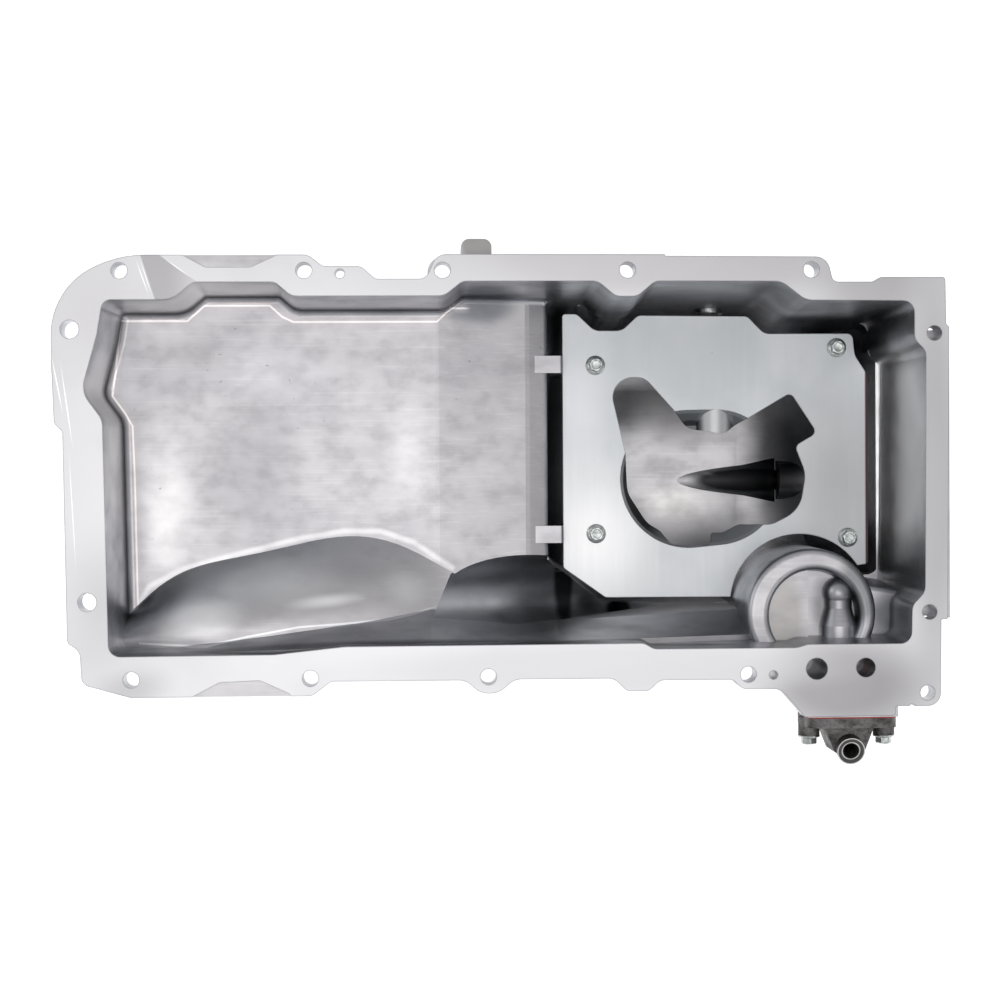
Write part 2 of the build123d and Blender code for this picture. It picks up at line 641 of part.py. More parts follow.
def end_drill(y, depth, start_x, end_x, radius):
    """Level hole along X."""
    middle = Pos(0.5 * (start_x + end_x), y, level(depth))
    return middle * (Rot(0, 90, 0) * Cylinder(radius, abs(end_x - start_x)))


def casting_holes():
    """Every machined hole in the casting."""
    holes = []
    drilled = [(rail_rows(), RAIL_HOLE_R), (FRONT_SCREWS, FRONT_HOLE_R), (REAR_SCREWS, REAR_HOLE_R)]
    for places, radius in drilled:
        for x, y in places:
            holes.append(upright(x, y, -1, BOSS_DEPTH + 4, radius))
    for x, y, radius, deep in RIVET_HOLES:
        holes.append(upright(x, y, -1, deep, radius))
    for x, y in BAFFLE_SCREWS:
        holes.append(upright(x, y, BAFFLE_DEPTH - 1, BAFFLE_DEPTH + SHEET + 14, SCREW_R))
    for y, depth in BELL_HOLES:
        holes.append(end_drill(y, depth, REAR_FACE_X + 1, REAR_FACE_X - BELL_HOLE_LONG, BELL_HOLE_R))
    holes.append(end_drill(DRAIN_Y, DRAIN_DEPTH, DRAIN_INNER_X - 1, DRAIN_FACE_X + 1, DRAIN_THREAD_R))
    bore_end = LEVEL_FACE_Y - LEVEL_BORE_LONG
    holes.append(cross_drill(LEVEL_X, LEVEL_DEPTH, bore_end, LEVEL_FACE_Y + 1, LEVEL_R))
    holes += oil_passages()
    for x in COVER_SCREW_X:
        holes.append(cross_drill(x, COVER_DEPTH, PAD_FACE_Y - 1, PAD_FACE_Y + 18, SCREW_R))
    return holes


def oil_passages():
    """Galleries from the rail, the passages they feed, and the filter's ports."""
    inlet_x, inlet_y = GALLERY_IN
    outlet_x, outlet_y = GALLERY_OUT
    pad_depth = PAD_DEPTH + 1
    ring = upright(FILTER_X, FILTER_Y, PAD_DEPTH - INLET_RING_DEEP, pad_depth, INLET_RING[1])
    ring -= upright(FILTER_X, FILTER_Y, PAD_DEPTH - INLET_RING_DEEP - 1, pad_depth + 1, INLET_RING[0])
    return [
        upright(inlet_x, inlet_y, -1, PAD_PASSAGE_DEPTH, GALLERY_IN_R),
        upright(outlet_x, outlet_y, -1, PASSAGE_DEPTH + 4, GALLERY_OUT_R),
        cross_drill(PASSAGE_X, PASSAGE_DEPTH, PAD_FACE_Y - 1, CASING_END_Y, PASSAGE_R),
        upright(PASSAGE_X, CASING_END_Y, PASSAGE_DEPTH, pad_depth, PASSAGE_R),
        cross_drill(inlet_x, PAD_PASSAGE_DEPTH, inlet_y, FILTER_Y, PASSAGE_R),
        upright(FILTER_X, FILTER_Y, PAD_DEPTH - NIPPLE_DEEP, pad_depth, NIPPLE_NECK_R),
        ring,
    ]


def pan_casting():
    """The whole die casting."""
    body = outside() + rail()
    body -= cavity()
    for hole in casting_holes():
        body -= hole
    return body


def baffle():
    """Pressed steel baffle with a turned-down front lip, a drawn dish and the pickup window."""
    top = level(BAFFLE_DEPTH)
    plate = extrude(rounded_face(BAFFLE, top), amount=-SHEET)
    lip_length = BAFFLE[1][1] - BAFFLE[-1][1] - 2 * LIP_RELIEF
    lip = Box(SHEET, lip_length, BAFFLE_LIP)
    lip_y = 0.5 * (BAFFLE[1][1] + BAFFLE[-1][1])
    plate += Pos(BAFFLE[0][0] + SHEET / 2, lip_y, top - BAFFLE_LIP / 2) * lip
    for x, y in BAFFLE_SCREWS[:2]:
        notch = Box(4 * SHEET, RIB_WIDTH + 2 * LIP_NOTCH, BAFFLE_LIP)
        plate -= Pos(BAFFLE[0][0], y, top - SHEET - BAFFLE_LIP / 2) * notch
    plate -= upright(*BAFFLE_ARC, BAFFLE_DEPTH - SHEET, BAFFLE_DEPTH + 2 * SHEET, BAFFLE_ARC_R)
    plate += dish(top - SHEET, DISH_GROW)
    plate -= dish(top, 0) - swell(SWELL_R)
    plate -= swell(SWELL_R - SHEET)
    plate -= extrude(rounded_face(PICKUP_WINDOW, top + 1), amount=-(DISH_DEPTH + 4 * SHEET))
    for x, y in BAFFLE_SCREWS:
        plate -= upright(x, y, BAFFLE_DEPTH - 1, BAFFLE_DEPTH + SHEET + 1, SCREW_R + 0.4)
    return plate


def dish_outline(z, grow):
    """Egg-shaped face at height z, wrapped round the dish's two circles."""
    with BuildSketch(Plane.XY.offset(z)) as sketch:
        for x, y, radius in DISH:
            with Locations((x, y)):
                Circle(radius + grow)
        make_hull()
    return sketch.sketch.faces()[0]


def dish(z, grow):
    """Solid of the dish from height z down; its sides slope in."""
    inset = DISH_DEPTH / tan(radians(DISH_SLOPE))
    return loft([dish_outline(z, grow), dish_outline(z - DISH_DEPTH, grow - inset)], ruled=True)


def swell(radius):
    """Half-round swell in the dish, level with the baffle at its top."""
    bar = Rot(90, 0, 0) * Cylinder(radius, SWELL_Y[1] - SWELL_Y[0])
    return Pos(SWELL_X, sum(SWELL_Y) / 2, level(BAFFLE_DEPTH + SWELL_R)) * bar


def flange_screw(hole_r, length, flange_r, across_flats, head):
    """Flanged hex screw for a threaded hole, with its seat at the origin and its head up."""
    washer = 0.3 * head
    screw = Pos(0, 0, washer / 2) * Cylinder(flange_r, washer)
    hexagon = RegularPolygon(across_flats / 2, 6, major_radius=False)
    screw += extrude(Pos(0, 0, washer) * hexagon, amount=head - washer)
    return screw + Pos(0, 0, -length / 2) * Cylinder(hole_r - THREAD_GAP, length)


def baffle_bolts():
    """The four M6 screws that hold the baffle."""
    screw = flange_screw(SCREW_R, BAFFLE_SCREW_LONG, *BAFFLE_HEAD)
    return [Pos(x, y, level(BAFFLE_DEPTH)) * screw for x, y in BAFFLE_SCREWS]


def cover_plate(thickness, outer_y, screw_r, oil_r):
    """Flat plate of the port cover's outline with its holes; outer_y is its outer face."""
    width = PAD_X[1] - PAD_X[0]
    height = PAD_BOTTOM - PAD_TOP
    block = Box(width, thickness, height)
    block = fillet(block.edges().filter_by(Axis.Y), radius=COVER_CORNER_R)
    plate = Pos(sum(PAD_X) / 2, outer_y + thickness / 2, level((PAD_TOP + PAD_BOTTOM) / 2)) * block
    for x in COVER_SCREW_X:
        plate -= cross_drill(x, COVER_DEPTH, outer_y - 1, outer_y + thickness + 1, screw_r)
    return plate - cross_drill(PASSAGE_X, PASSAGE_DEPTH, outer_y - 1, outer_y + thickness + 1, oil_r)


def port_axis():
    """Frame of the leaning port: its origin on the machined face, its z pointing up and out."""
    return Pos(PORT_X, PORT_Y, level(PORT_FACE_DEPTH)) * Rot(PORT_LEAN, 0, 0)


def port_cover():
    """Cast cover with two screw bosses, a neck and a leaning threaded port."""
    face_y = PAD_FACE_Y - GASKET
    cover = cover_plate(COVER_PLATE, face_y - COVER_PLATE, COVER_HOLE_R, PASSAGE_R)
    for x in COVER_SCREW_X:
        cover += cross_drill(x, COVER_DEPTH, face_y - 1, COVER_SEAT_Y, COVER_BOSS_R)
    root_y = face_y - COVER_PLATE + 1
    with BuildSketch(Plane.XY.offset(level(NECK_DEPTH))) as neck:
        with BuildLine():
            Polyline(
                (PORT_X - NECK_ROOT, root_y), (PORT_X + NECK_ROOT, root_y),
                (PORT_X + NECK_TIP, NECK_END_Y), (PORT_X - NECK_TIP, NECK_END_Y), close=True,
            )
        make_face()
    neck_solid = extrude(neck.sketch, amount=-NECK_TALL)
    cover += fillet(neck_solid.edges().filter_by(Axis.Z).group_by(Axis.Y)[0], radius=NECK_ROUND)
    cover += port_axis() * Pos(0, 0, -PORT_LONG / 2) * Cylinder(PORT_R, PORT_LONG)
    for x in COVER_SCREW_X:
        cover -= cross_drill(x, COVER_DEPTH, face_y + 1, COVER_SEAT_Y - 1, COVER_HOLE_R)
    cover -= port_axis() * Pos(0, 0, -PORT_BORE_DEEP / 2 + 1) * Cylinder(PORT_BORE_R, PORT_BORE_DEEP + 2)
    cover -= port_axis() * Cylinder(COUNTERBORE_R, 2 * COUNTERBORE_DEEP)
    cover -= cross_drill(PASSAGE_X, PASSAGE_DEPTH, face_y + 1, PORT_Y, PASSAGE_R)
    return cover


def port_cover_gasket():
    """Thin red gasket between the pad and the cover."""
    return cover_plate(GASKET, PAD_FACE_Y - GASKET, COVER_HOLE_R, PASSAGE_R + 1)


def port_cover_bolts():
    """The two M6 screws of the port cover, heads outward."""
    screw = Rot(90, 0, 0) * flange_screw(SCREW_R, COVER_SCREW_LONG, *COVER_HEAD)
    return [Pos(x, COVER_SEAT_Y, level(COVER_DEPTH)) * screw for x in COVER_SCREW_X]


def ring(outer_r, inner_r, thickness):
    """Flat washer with its lower face at the origin."""
    return Pos(0, 0, thickness / 2) * (Cylinder(outer_r, thickness) - Cylinder(inner_r, 2 * thickness))


def drain_plug():
    """Hex drain plug screwed into the rear of the sump, over its washer."""
    plug = flange_screw(DRAIN_THREAD_R, DRAIN_PLUG_LONG, *DRAIN_HEAD)
    return Pos(DRAIN_FACE_X + WASHER, DRAIN_Y, level(DRAIN_DEPTH)) * (Rot(0, 90, 0) * plug)


def drain_plug_washer():
    """Soft washer between the drain plug and its boss."""
    return Pos(DRAIN_FACE_X, DRAIN_Y, level(DRAIN_DEPTH)) * (Rot(0, 90, 0) * ring(*DRAIN_WASHER, WASHER))


def level_port_plug():
    """Hex plug in the level port of the passenger-side wall."""
    plug = flange_screw(LEVEL_R, LEVEL_PLUG_LONG, *LEVEL_HEAD)
    return Pos(LEVEL_X, LEVEL_FACE_Y + WASHER, level(LEVEL_DEPTH)) * (Rot(-90, 0, 0) * plug)


def level_port_washer():
    """Soft washer between the level plug and its boss."""
    return Pos(LEVEL_X, LEVEL_FACE_Y, level(LEVEL_DEPTH)) * (Rot(-90, 0, 0) * ring(*LEVEL_WASHER, WASHER))


def filter_nipple():
    """Threaded tube that the spin-on filter screws to; its plain neck goes into the pad."""
    top = PAD_DEPTH - NIPPLE_DEEP
    foot = PAD_DEPTH + NIPPLE_REACH
    thread = upright(FILTER_X, FILTER_Y, PAD_DEPTH + NIPPLE_NECK, foot, NIPPLE_R - THREAD_GAP)
    thread = chamfer(thread.edges().group_by(Axis.Z)[0], NIPPLE_CHAMFER)
    thread += upright(FILTER_X, FILTER_Y, top, foot - NIPPLE_CHAMFER, NIPPLE_NECK_R - THREAD_GAP)
    return thread - upright(FILTER_X, FILTER_Y, top - 1, foot + 1, NIPPLE_BORE_R)


def main():
    os.makedirs("parts", exist_ok=True)
    nodes = {
        "pan_casting": [pan_casting()],
        "baffle": [baffle()],
        "baffle_bolts": baffle_bolts(),
        "port_cover": [port_cover()],
        "port_cover_gasket": [port_cover_gasket()],
        "port_cover_bolts": port_cover_bolts(),
        "drain_plug": [drain_plug()],
        "drain_plug_washer": [drain_plug_washer()],
        "level_port_plug": [level_port_plug()],
        "level_port_washer": [level_port_washer()],
        "filter_nipple": [filter_nipple()],
    }
    for name, shapes in nodes.items():
        solids = [solid for shape in shapes for solid in shape.solids()]
        export_step(Compound(solids), f"parts/{name}.step")


if __name__ == "__main__":
    main()
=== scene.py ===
"""Looks of a cast aluminium engine oil pan, laid out as an add-on and run as a script."""
from math import atan2, cos, degrees, hypot, pi, radians, sin, tau

import bmesh
import bpy
from mathutils import Matrix, Vector


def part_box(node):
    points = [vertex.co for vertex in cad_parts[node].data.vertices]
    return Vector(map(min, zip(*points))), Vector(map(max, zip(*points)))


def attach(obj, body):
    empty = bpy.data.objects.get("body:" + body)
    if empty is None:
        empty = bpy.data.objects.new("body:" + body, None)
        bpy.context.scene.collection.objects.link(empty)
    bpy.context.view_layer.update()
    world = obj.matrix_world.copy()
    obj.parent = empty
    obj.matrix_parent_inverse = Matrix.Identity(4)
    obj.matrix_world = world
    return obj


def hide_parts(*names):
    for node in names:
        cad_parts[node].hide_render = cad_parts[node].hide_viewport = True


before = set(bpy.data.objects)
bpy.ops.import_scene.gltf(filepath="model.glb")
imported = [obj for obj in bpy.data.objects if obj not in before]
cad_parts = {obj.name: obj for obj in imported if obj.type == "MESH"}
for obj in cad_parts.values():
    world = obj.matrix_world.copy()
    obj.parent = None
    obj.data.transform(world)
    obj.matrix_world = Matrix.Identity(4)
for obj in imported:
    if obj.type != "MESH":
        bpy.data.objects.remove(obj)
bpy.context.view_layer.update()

bl_info = {
    "name": "Engine oil pan",
    "version": (1, 0, 0),
    "blender": (4, 5, 0),
    "location": "View3D > Sidebar > Oil Pan",
    "description": "Finishes, screws, plugs and studio of a cast engine oil pan",
    "category": "Object",
}

MM = 0.001
RAIL_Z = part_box("pan_casting")[1].z     # height of the milled rail in metres
SHARP = radians(35)                     # an edge sharper than this isn't smoothed

# places on the pan, in millimetres
FILTER = (192.5, -69.5)                         # axis of the oil filter's seat
SEAT_Z = 148                                    # height of that seat
PAD_Y = -131.8                                  # milled pad under the port cover
REAR_X = 271.9                                  # milled face that meets the bellhousing
DRAIN = Vector((231, 14, 16))                   # end of the drain boss, which looks to the rear
LEVEL_PORT = Vector((143, 139, 77))             # end of the level port's boss, which looks to +y
OIL_OUTLET = (219.8, -101, 184)                 # rear oil passage in the rail
COVER_PORT = Vector((213.2, -153.7, 194))       # middle of the port cover's machined face
COVER_PORT_NORMAL = (0, -0.2504, 0.9681)        # that face leans 14.5 degrees from level
SUMP_MIDDLE = Vector((150, 20, 0))              # the inner faces look towards an upright line through it


# ---------------------------------------------------------------- settings

class PanFinish(bpy.types.PropertyGroup):
    cast_light: bpy.props.StringProperty(
        name="Cast light", description="Clean die-cast skin, sRGB hex", default="BFBDBF")
    # painted shade: the darker skin of the walls, the faces that don't look up
    cast_wall_shade: bpy.props.StringProperty(
        name="Cast dark", description="Oily or stained die-cast skin, sRGB hex", default="A9ABAF")
    milled: bpy.props.StringProperty(
        name="Milled", description="Freshly milled aluminium, sRGB hex", default="CDCCCE")
    cast_roughness: bpy.props.FloatProperty(
        name="Cast roughness", description="Gloss of the die-cast skin", default=0.34, min=0.05, max=1.0)
    milled_roughness: bpy.props.FloatProperty(
        name="Milled roughness", description="Gloss of the milled faces", default=0.30, min=0.05, max=1.0)


class HardwareSizes(bpy.types.PropertyGroup):
    baffle_flange: bpy.props.FloatProperty(
        name="Baffle screw flange", description="Flange radius of the baffle's screws",
        default=6.3 * MM, unit="LENGTH")
    baffle_flats: bpy.props.FloatProperty(
        name="Baffle screw hex", description="Half the width across flats of the baffle's screws",
        default=4.3 * MM, unit="LENGTH")
    baffle_head: bpy.props.FloatProperty(
        name="Baffle screw head", description="Height of the baffle's screw heads",
        default=6.5 * MM, unit="LENGTH")
    cover_flange: bpy.props.FloatProperty(
        name="Cover screw flange", description="Flange radius of the port cover's screws",
        default=6.8 * MM, unit="LENGTH")
    cover_flats: bpy.props.FloatProperty(
        name="Cover screw hex", description="Half the width across flats of the cover's screws",
        default=4.5 * MM, unit="LENGTH")
    cover_head: bpy.props.FloatProperty(
        name="Cover screw head", description="Height of the cover's screw heads",
        default=5.6 * MM, unit="LENGTH")
    drain_flats: bpy.props.FloatProperty(
        name="Drain plug hex", description="Half the width across flats of the drain plug",
        default=8.5 * MM, unit="LENGTH")
    level_flats: bpy.props.FloatProperty(
        name="Level plug hex", description="Half the width across flats of the level port's plug",
        default=11.0 * MM, unit="LENGTH")
    nipple_crest: bpy.props.FloatProperty(
        name="Nipple thread", description="Crest radius of the filter nipple's thread",
        default=10.95 * MM, unit="LENGTH")
    nipple_pitch: bpy.props.FloatProperty(
        name="Nipple pitch", description="Pitch of the filter nipple's thread",
        default=1.5 * MM, unit="LENGTH")
    zinc: bpy.props.StringProperty(
        name="Zinc", description="Zinc-plated steel, sRGB hex", default="C9CDCB")


class StudioSettings(bpy.types.PropertyGroup):
    floor: bpy.props.StringProperty(
        name="Floor", description="Floor colour, sRGB hex", default="FAFAFA")
    floor_glow: bpy.props.FloatProperty(
        name="Floor glow", description="Light that the floor gives off", default=0.6, min=0.0, max=2.0)
    key_power: bpy.props.FloatProperty(
        name="Overhead light", description="Power of the soft light over the pan", default=5.4, unit="POWER")
    fill_power: bpy.props.FloatProperty(
        name="Fill lights", description="Power of each soft light at the sides", default=2.0, unit="POWER")
    surround: bpy.props.FloatProperty(
        name="Surround", description="Brightness of the pale room", default=0.62, min=0.0, max=2.0)


# ---------------------------------------------------------------- small tools

def srgb(colour):
    """An sRGB hex colour as linear RGBA."""
    parts = [int(colour[i:i + 2], 16) / 255 for i in (0, 2, 4)]
    linear = [c / 12.92 if c <= 0.04045 else ((c + 0.055) / 1.055) ** 2.4 for c in parts]
    return (*linear, 1.0)


def add(tree, kind, sockets=None, **settings):
    """Adds a node. sockets maps an input's name or number to its value or to the output that feeds it."""
    made = tree.nodes.new(kind)
    for name, value in settings.items():
        setattr(made, name, value)
    for key, value in (sockets or {}).items():
        if isinstance(value, bpy.types.NodeSocket):
            tree.links.new(value, made.inputs[key])
        else:
            made.inputs[key].default_value = value
    return made


def new_material(name, roughness, colour=None, metallic=1.0):
    """An opaque material; its tree, its shader and the surface's own coordinates in metres."""
    material = bpy.data.materials.new(name)
    material.use_nodes = True
    tree = material.node_tree
    shader = tree.nodes["Principled BSDF"]
    shader.inputs["Metallic"].default_value = metallic
    shader.inputs["Roughness"].default_value = roughness
    if colour:
        shader.inputs["Base Color"].default_value = srgb(colour)
        material.diffuse_color = srgb(colour)
    where = add(tree, "ShaderNodeTexCoord").outputs["Object"]
    return material, tree, shader, where


def fade(tree, value, start, end, low=0.0, high=1.0):
    """Goes smoothly from low to high as the value goes from start to end."""
    return add(tree, "ShaderNodeMapRange",
               {"Value": value, "From Min": start, "From Max": end, "To Min": low, "To Max": high},
               interpolation_type="SMOOTHSTEP").outputs[0]


def product(tree, *values):
    """All the masks multiplied."""
    result = values[0]
    for value in values[1:]:
        result = add(tree, "ShaderNodeMath", {0: result, 1: value}, operation="MULTIPLY").outputs[0]
    return result


def union(tree, *masks):
    """Where any of the masks is set."""
    result = masks[0]
    for mask in masks[1:]:
        result = add(tree, "ShaderNodeMath", {0: result, 1: mask}, operation="MAXIMUM").outputs[0]
    return result


def band(tree, value, start, end, soft):
    """1 between start and end, with soft edges."""
    rise = fade(tree, value, start - soft, start + soft)
    return product(tree, rise, fade(tree, value, end - soft, end + soft, 1.0, 0.0))


def patch(tree, where, centre, size, edge, turn=0.0):
    """Soft spot at a centre in millimetres; size holds its half-lengths, edge is how hard its rim is, from 0
    to 1, and turn is in degrees."""
    middle = Vector(centre) * MM
    if turn:
        where = add(tree, "ShaderNodeVectorRotate",
                    {"Vector": where, "Center": middle, "Angle": radians(-turn)},
                    rotation_type="Z_AXIS").outputs[0]
    scale = Vector([1 / (s * MM) for s in size])
    shift = [-m * s for m, s in zip(middle, scale)]
    local = add(tree, "ShaderNodeVectorMath", {0: where, 1: scale, 2: shift},
                operation="MULTIPLY_ADD").outputs[0]
    far = add(tree, "ShaderNodeVectorMath", {0: local}, operation="LENGTH").outputs["Value"]
    return fade(tree, far, edge, 1.0, 1.0, 0.0)


def paint(tree, where, under, tones):
    """Lays the tones of a table over a colour, one after the other."""
    for centre, size, turn, edge, colour, amount in tones:
        spot = product(tree, patch(tree, where, centre, size, edge, turn), amount)
        under = blend(tree, spot, under, colour)
    return under


def streak(tree, where, start, end, width):
    """Thin straight mark on the rail between two x, y; all in millimetres."""
    middle = [(a + b) / 2 for a, b in zip(start, end)]
    run, rise = end[0] - start[0], end[1] - start[1]
    size = (hypot(run, rise) / 2, width, 3.0)
    return patch(tree, where, (*middle, RAIL_Z / MM), size, 0.1, degrees(atan2(rise, run)))


def beyond(tree, where, start, end):
    """1 on the right-hand side of the line from start to end, both x, y in millimetres."""
    soft = 0.4 * MM
    run, rise = end[0] - start[0], end[1] - start[1]
    length = hypot(run, rise)
    across = (rise / length, -run / length, 0)
    reach = add(tree, "ShaderNodeVectorMath", {0: where, 1: across}, operation="DOT_PRODUCT").outputs["Value"]
    line = (start[0] * across[0] + start[1] * across[1]) * MM
    return fade(tree, reach, line - soft, line + soft)


def path_gap(tree, where, points):
    """Distance in metres, seen from above, to the line through points in millimetres."""
    flat = add(tree, "ShaderNodeVectorMath", {0: where, 1: (1, 1, 0)}, operation="MULTIPLY").outputs[0]
    nearest = None
    for start, end in zip(points, points[1:]):
        start, end = Vector((*start, 0)) * MM, Vector((*end, 0)) * MM
        run = end - start
        away = add(tree, "ShaderNodeVectorMath", {0: flat, 1: start}, operation="SUBTRACT").outputs[0]
        along = add(tree, "ShaderNodeVectorMath", {0: away, 1: run / run.length_squared},
                    operation="DOT_PRODUCT").outputs["Value"]
        along = add(tree, "ShaderNodeMath", {0: along, 1: 0.0}, operation="ADD", use_clamp=True).outputs[0]
        foot = add(tree, "ShaderNodeVectorMath", {0: run, "Scale": along}, operation="SCALE").outputs[0]
        gap = add(tree, "ShaderNodeVectorMath", {0: away, 1: foot}, operation="DISTANCE").outputs["Value"]
        nearest = gap if nearest is None else add(
            tree, "ShaderNodeMath", {0: nearest, 1: gap}, operation="MINIMUM").outputs[0]
    return nearest


def outline(tree):
    """1 along the sharp edges of a surface, about a millimetre wide."""
    normal = add(tree, "ShaderNodeNewGeometry").outputs["True Normal"]
    rounded = add(tree, "ShaderNodeBevel", {"Radius": 1.0 * MM}, samples=6).outputs[0]
    lean = add(tree, "ShaderNodeVectorMath", {0: normal, 1: rounded},
               operation="DOT_PRODUCT").outputs["Value"]
    return fade(tree, lean, 0.995, 0.93)


def grain(tree, where, size, detail, roughness=0.55, offset=0.0):
    """Noise from 0 to 1 whose features are size millimetres long on each axis."""
    scaled = add(tree, "ShaderNodeMapping",
                 {"Vector": where, "Location": (offset, offset, offset),
                  "Scale": [1 / (s * MM) for s in size]}).outputs[0]
    return add(tree, "ShaderNodeTexNoise",
               {"Vector": scaled, "Scale": 1.0, "Detail": detail, "Roughness": roughness}).outputs["Fac"]


def blend(tree, mask, under, over):
    """Colour that goes from under to over with the mask; colours are hex strings or outputs."""
    pair = [srgb(c) if isinstance(c, str) else c for c in (under, over)]
    return add(tree, "ShaderNodeMix", {0: mask, 6: pair[0], 7: pair[1]}, data_type="RGBA").outputs[2]


def mixed(tree, mask, under, over):
    """Number that goes from under to over with the mask."""
    return add(tree, "ShaderNodeMix", {0: mask, 2: under, 3: over}, data_type="FLOAT").outputs[0]


def relief(tree, shader, height, distance, strength):
    """Bump of the given height field; distance is its full height in metres."""
    bump = add(tree, "ShaderNodeBump", {"Height": height, "Distance": distance, "Strength": strength})
    tree.links.new(bump.outputs[0], shader.inputs["Normal"])


def finish_node(name, material):
    """Gives a CAD node its material."""
    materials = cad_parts[name].data.materials
    materials.clear()
    materials.append(material)


def in_scene(name, data):
    """A new object in the scene."""
    made = bpy.data.objects.new(name, data)
    bpy.context.scene.collection.objects.link(made)
    return made


def smooth(mesh):
    """Smooth shading, apart from the sharp edges."""
    mesh.shade_smooth()
    mesh.set_sharp_from_angle(angle=SHARP)


def solid_piece(name, bm, material):
    """A finished piece from a bmesh."""
    bmesh.ops.remove_doubles(bm, verts=bm.verts, dist=1e-6)
    bmesh.ops.recalc_face_normals(bm, faces=bm.faces)
    mesh = bpy.data.meshes.new(name)
    bm.to_mesh(mesh)
    bm.free()
    mesh.materials.append(material)
    smooth(mesh)
    return in_scene(name, mesh)


# ---------------------------------------------------------------- finishes

# A soft tone is a centre, half-lengths, a turn in degrees, the hardness of its rim, a colour and a strength.
# # These on the cast skin are mostly painted light and shade: painted highlights on the floor, the hump and
# the walls, and painted shade in the sump, under the baffle and in corners, with some uneven tone.
SKIN_SHADE_AND_TONES = (
    ((-212, -4, 140), (26, 72, 4), 2, 0.0, "ECE9E9", 0.80),
    ((-158, 22, 140), (44, 66, 4), 0, 0.1, "9C9A9E", 0.60),
    ((-190, 96, 140), (44, 22, 4), -14, 0.0, "ABA8AB", 0.50),
    ((-146, 84, 140), (56, 26, 4), 0, 0.0, "D2D0D3", 0.50),
    ((-58, 30, 140), (20, 46, 4), 4, 0.0, "DAD8DA", 0.70),
    ((-112, -40, 156), (66, 13, 20), -6, 0.0, "8E8E93", 0.45),
    ((-150, -44, 154), (70, 26, 22), -4, 0.1, "E8E8EA", 0.50),
    ((-108, -60, 164), (34, 6, 16), 6, 0.0, "FFFFFF", 0.95),
    ((-190, -70, 166), (36, 16, 18), 8, 0.2, "F4F4F6", 0.85),
    ((-60, -52, 150), (20, 16, 16), -20, 0.0, "E2E2E4", 0.60),
    ((-8, -60, 120), (40, 30, 40), 0, 0.1, "D0D2D6", 0.60),
    ((-60, -90, 198), (210, 9, 22), 0, 0.6, "56585C", 0.85),
    ((84, -73, 61), (12, 9, 16), 0, 0.6, "1C1D20", 0.95),
    ((62, -67, 72), (16, 12, 18), 0, 0.2, "1E1F22", 0.80),
    ((44, 20, 60), (10, 150, 90), 0, 0.7, "1B1C1E", 0.88),
    ((128, -2, 9), (46, 24, 20), 0, 0.0, "EDE9E6", 0.60),
    ((88, 66, 9), (40, 34, 26), 30, 0.1, "3A3C40", 0.85),
    ((200, 30, 20), (36, 66, 40), 0, 0.25, "1E1F21", 0.85),
    ((178, 14, 2), (48, 11, 14), 0, 0.7, "1C1D20", 0.92),
    ((170, -34, 10), (60, 18, 22), 0, 0.0, "4A4B50", 0.60),
    ((248, 118, 130), (30, 26, 90), 0, 0.1, "4B4A4C", 0.80),
    ((255, 36, 120), (14, 90, 120), 0, 0.6, "FFFFFF", 0.95),
    ((80, 124, 150), (80, 26, 50), 0, 0.1, "63666C", 0.70),
    ((176, -72, 170), (16, 32, 10), 0, 0.5, "A3A09E", 0.90),
    ((210, -66, 164), (20, 26, 12), 0, 0.5, "7A797C", 0.85),
    ((222, -54, 174), (16, 30, 16), 8, 0.5, "828385", 0.90),
    ((252, -72, 158), (26, 22, 14), 0, 0.4, "66676B", 0.85),
    ((212, -98, 190), (44, 7, 36), 0, 0.5, "3C3D40", 0.85),
    ((106, -85, 188), (50, 7, 9), 0, 0.5, "4A4C50", 0.85),
    ((-256, 44, 176), (26, 96, 42), 0, 0.5, "FFFFFF", 0.80),
    ((-188, 132, 178), (76, 22, 42), 0, 0.5, "FFFFFF", 0.70),
    ((-12, 126, 158), (34, 16, 60), 0, 0.5, "7C7E84", 0.85),
    ((182, 124, 182), (44, 24, 42), 0, 0.4, "707277", 0.85),
    ((-14, 158, 176), (16, 12, 40), 0, 0.7, "8B8987", 0.85),
)

# mostly painted sheen and shade on the milled rail
RAIL_SHEEN_AND_SHADE = (
    ((-226, -110, 206), (34, 18, 8), 10, 0.1, "ADACAE", 0.75),
    ((-240, -60, 206), (40, 60, 8), 0, 0.0, "B4B3B5", 0.75),
    ((-240, 110, 206), (44, 50, 8), 0, 0.0, "BFBDBE", 0.60),
    ((262, 10, 206), (22, 150, 8), 0, 0.3, "ABAAAC", 0.80),
    ((205, -112, 206), (70, 40, 8), 0, 0.3, "8F8D8F", 0.85),
    ((100, 146, 206), (200, 24, 8), 0, 0.4, "BBB9BA", 0.70),
    ((225, 130, 206), (44, 30, 8), 0, 0.2, "ABA9A9", 0.60),
    ((-40, 136, 206), (70, 22, 8), 0, 0.2, "C8C7C8", 0.80),
    ((60, -100, 206), (190, 22, 8), 0, 0.4, "BDBCBE", 0.75),
)

# painted light and shade on the baffle
BAFFLE_LIGHT_AND_SHADE = (
    ((62, -24, 118), (60, 70, 20), 0, 0.0, "F4F3F3", 0.85),
    ((54, 60, 118), (26, 60, 20), 0, 0.0, "DCDDDF", 0.60),
    ((232, 10, 118), (70, 90, 20), 0, 0.0, "A2A3A4", 0.80),
    ((130, 100, 118), (50, 40, 20), 0, 0.0, "BDBFC1", 0.50),
)

# bright straight scratches on the rail: start, end, half-width
RAIL_LINES = (
    ((-221.6, 150), (-212.6, 124.6), 0.45), ((-219, 150), (-210.8, 124.4), 0.3),
    ((-206.5, 150.5), (-186.3, 136), 0.4), ((-272.4, 95), (-264.3, 52), 0.6),
    ((-267, 92), (-258.5, 30), 0.5), ((-262, 40), (-257.5, -45), 0.35),
)
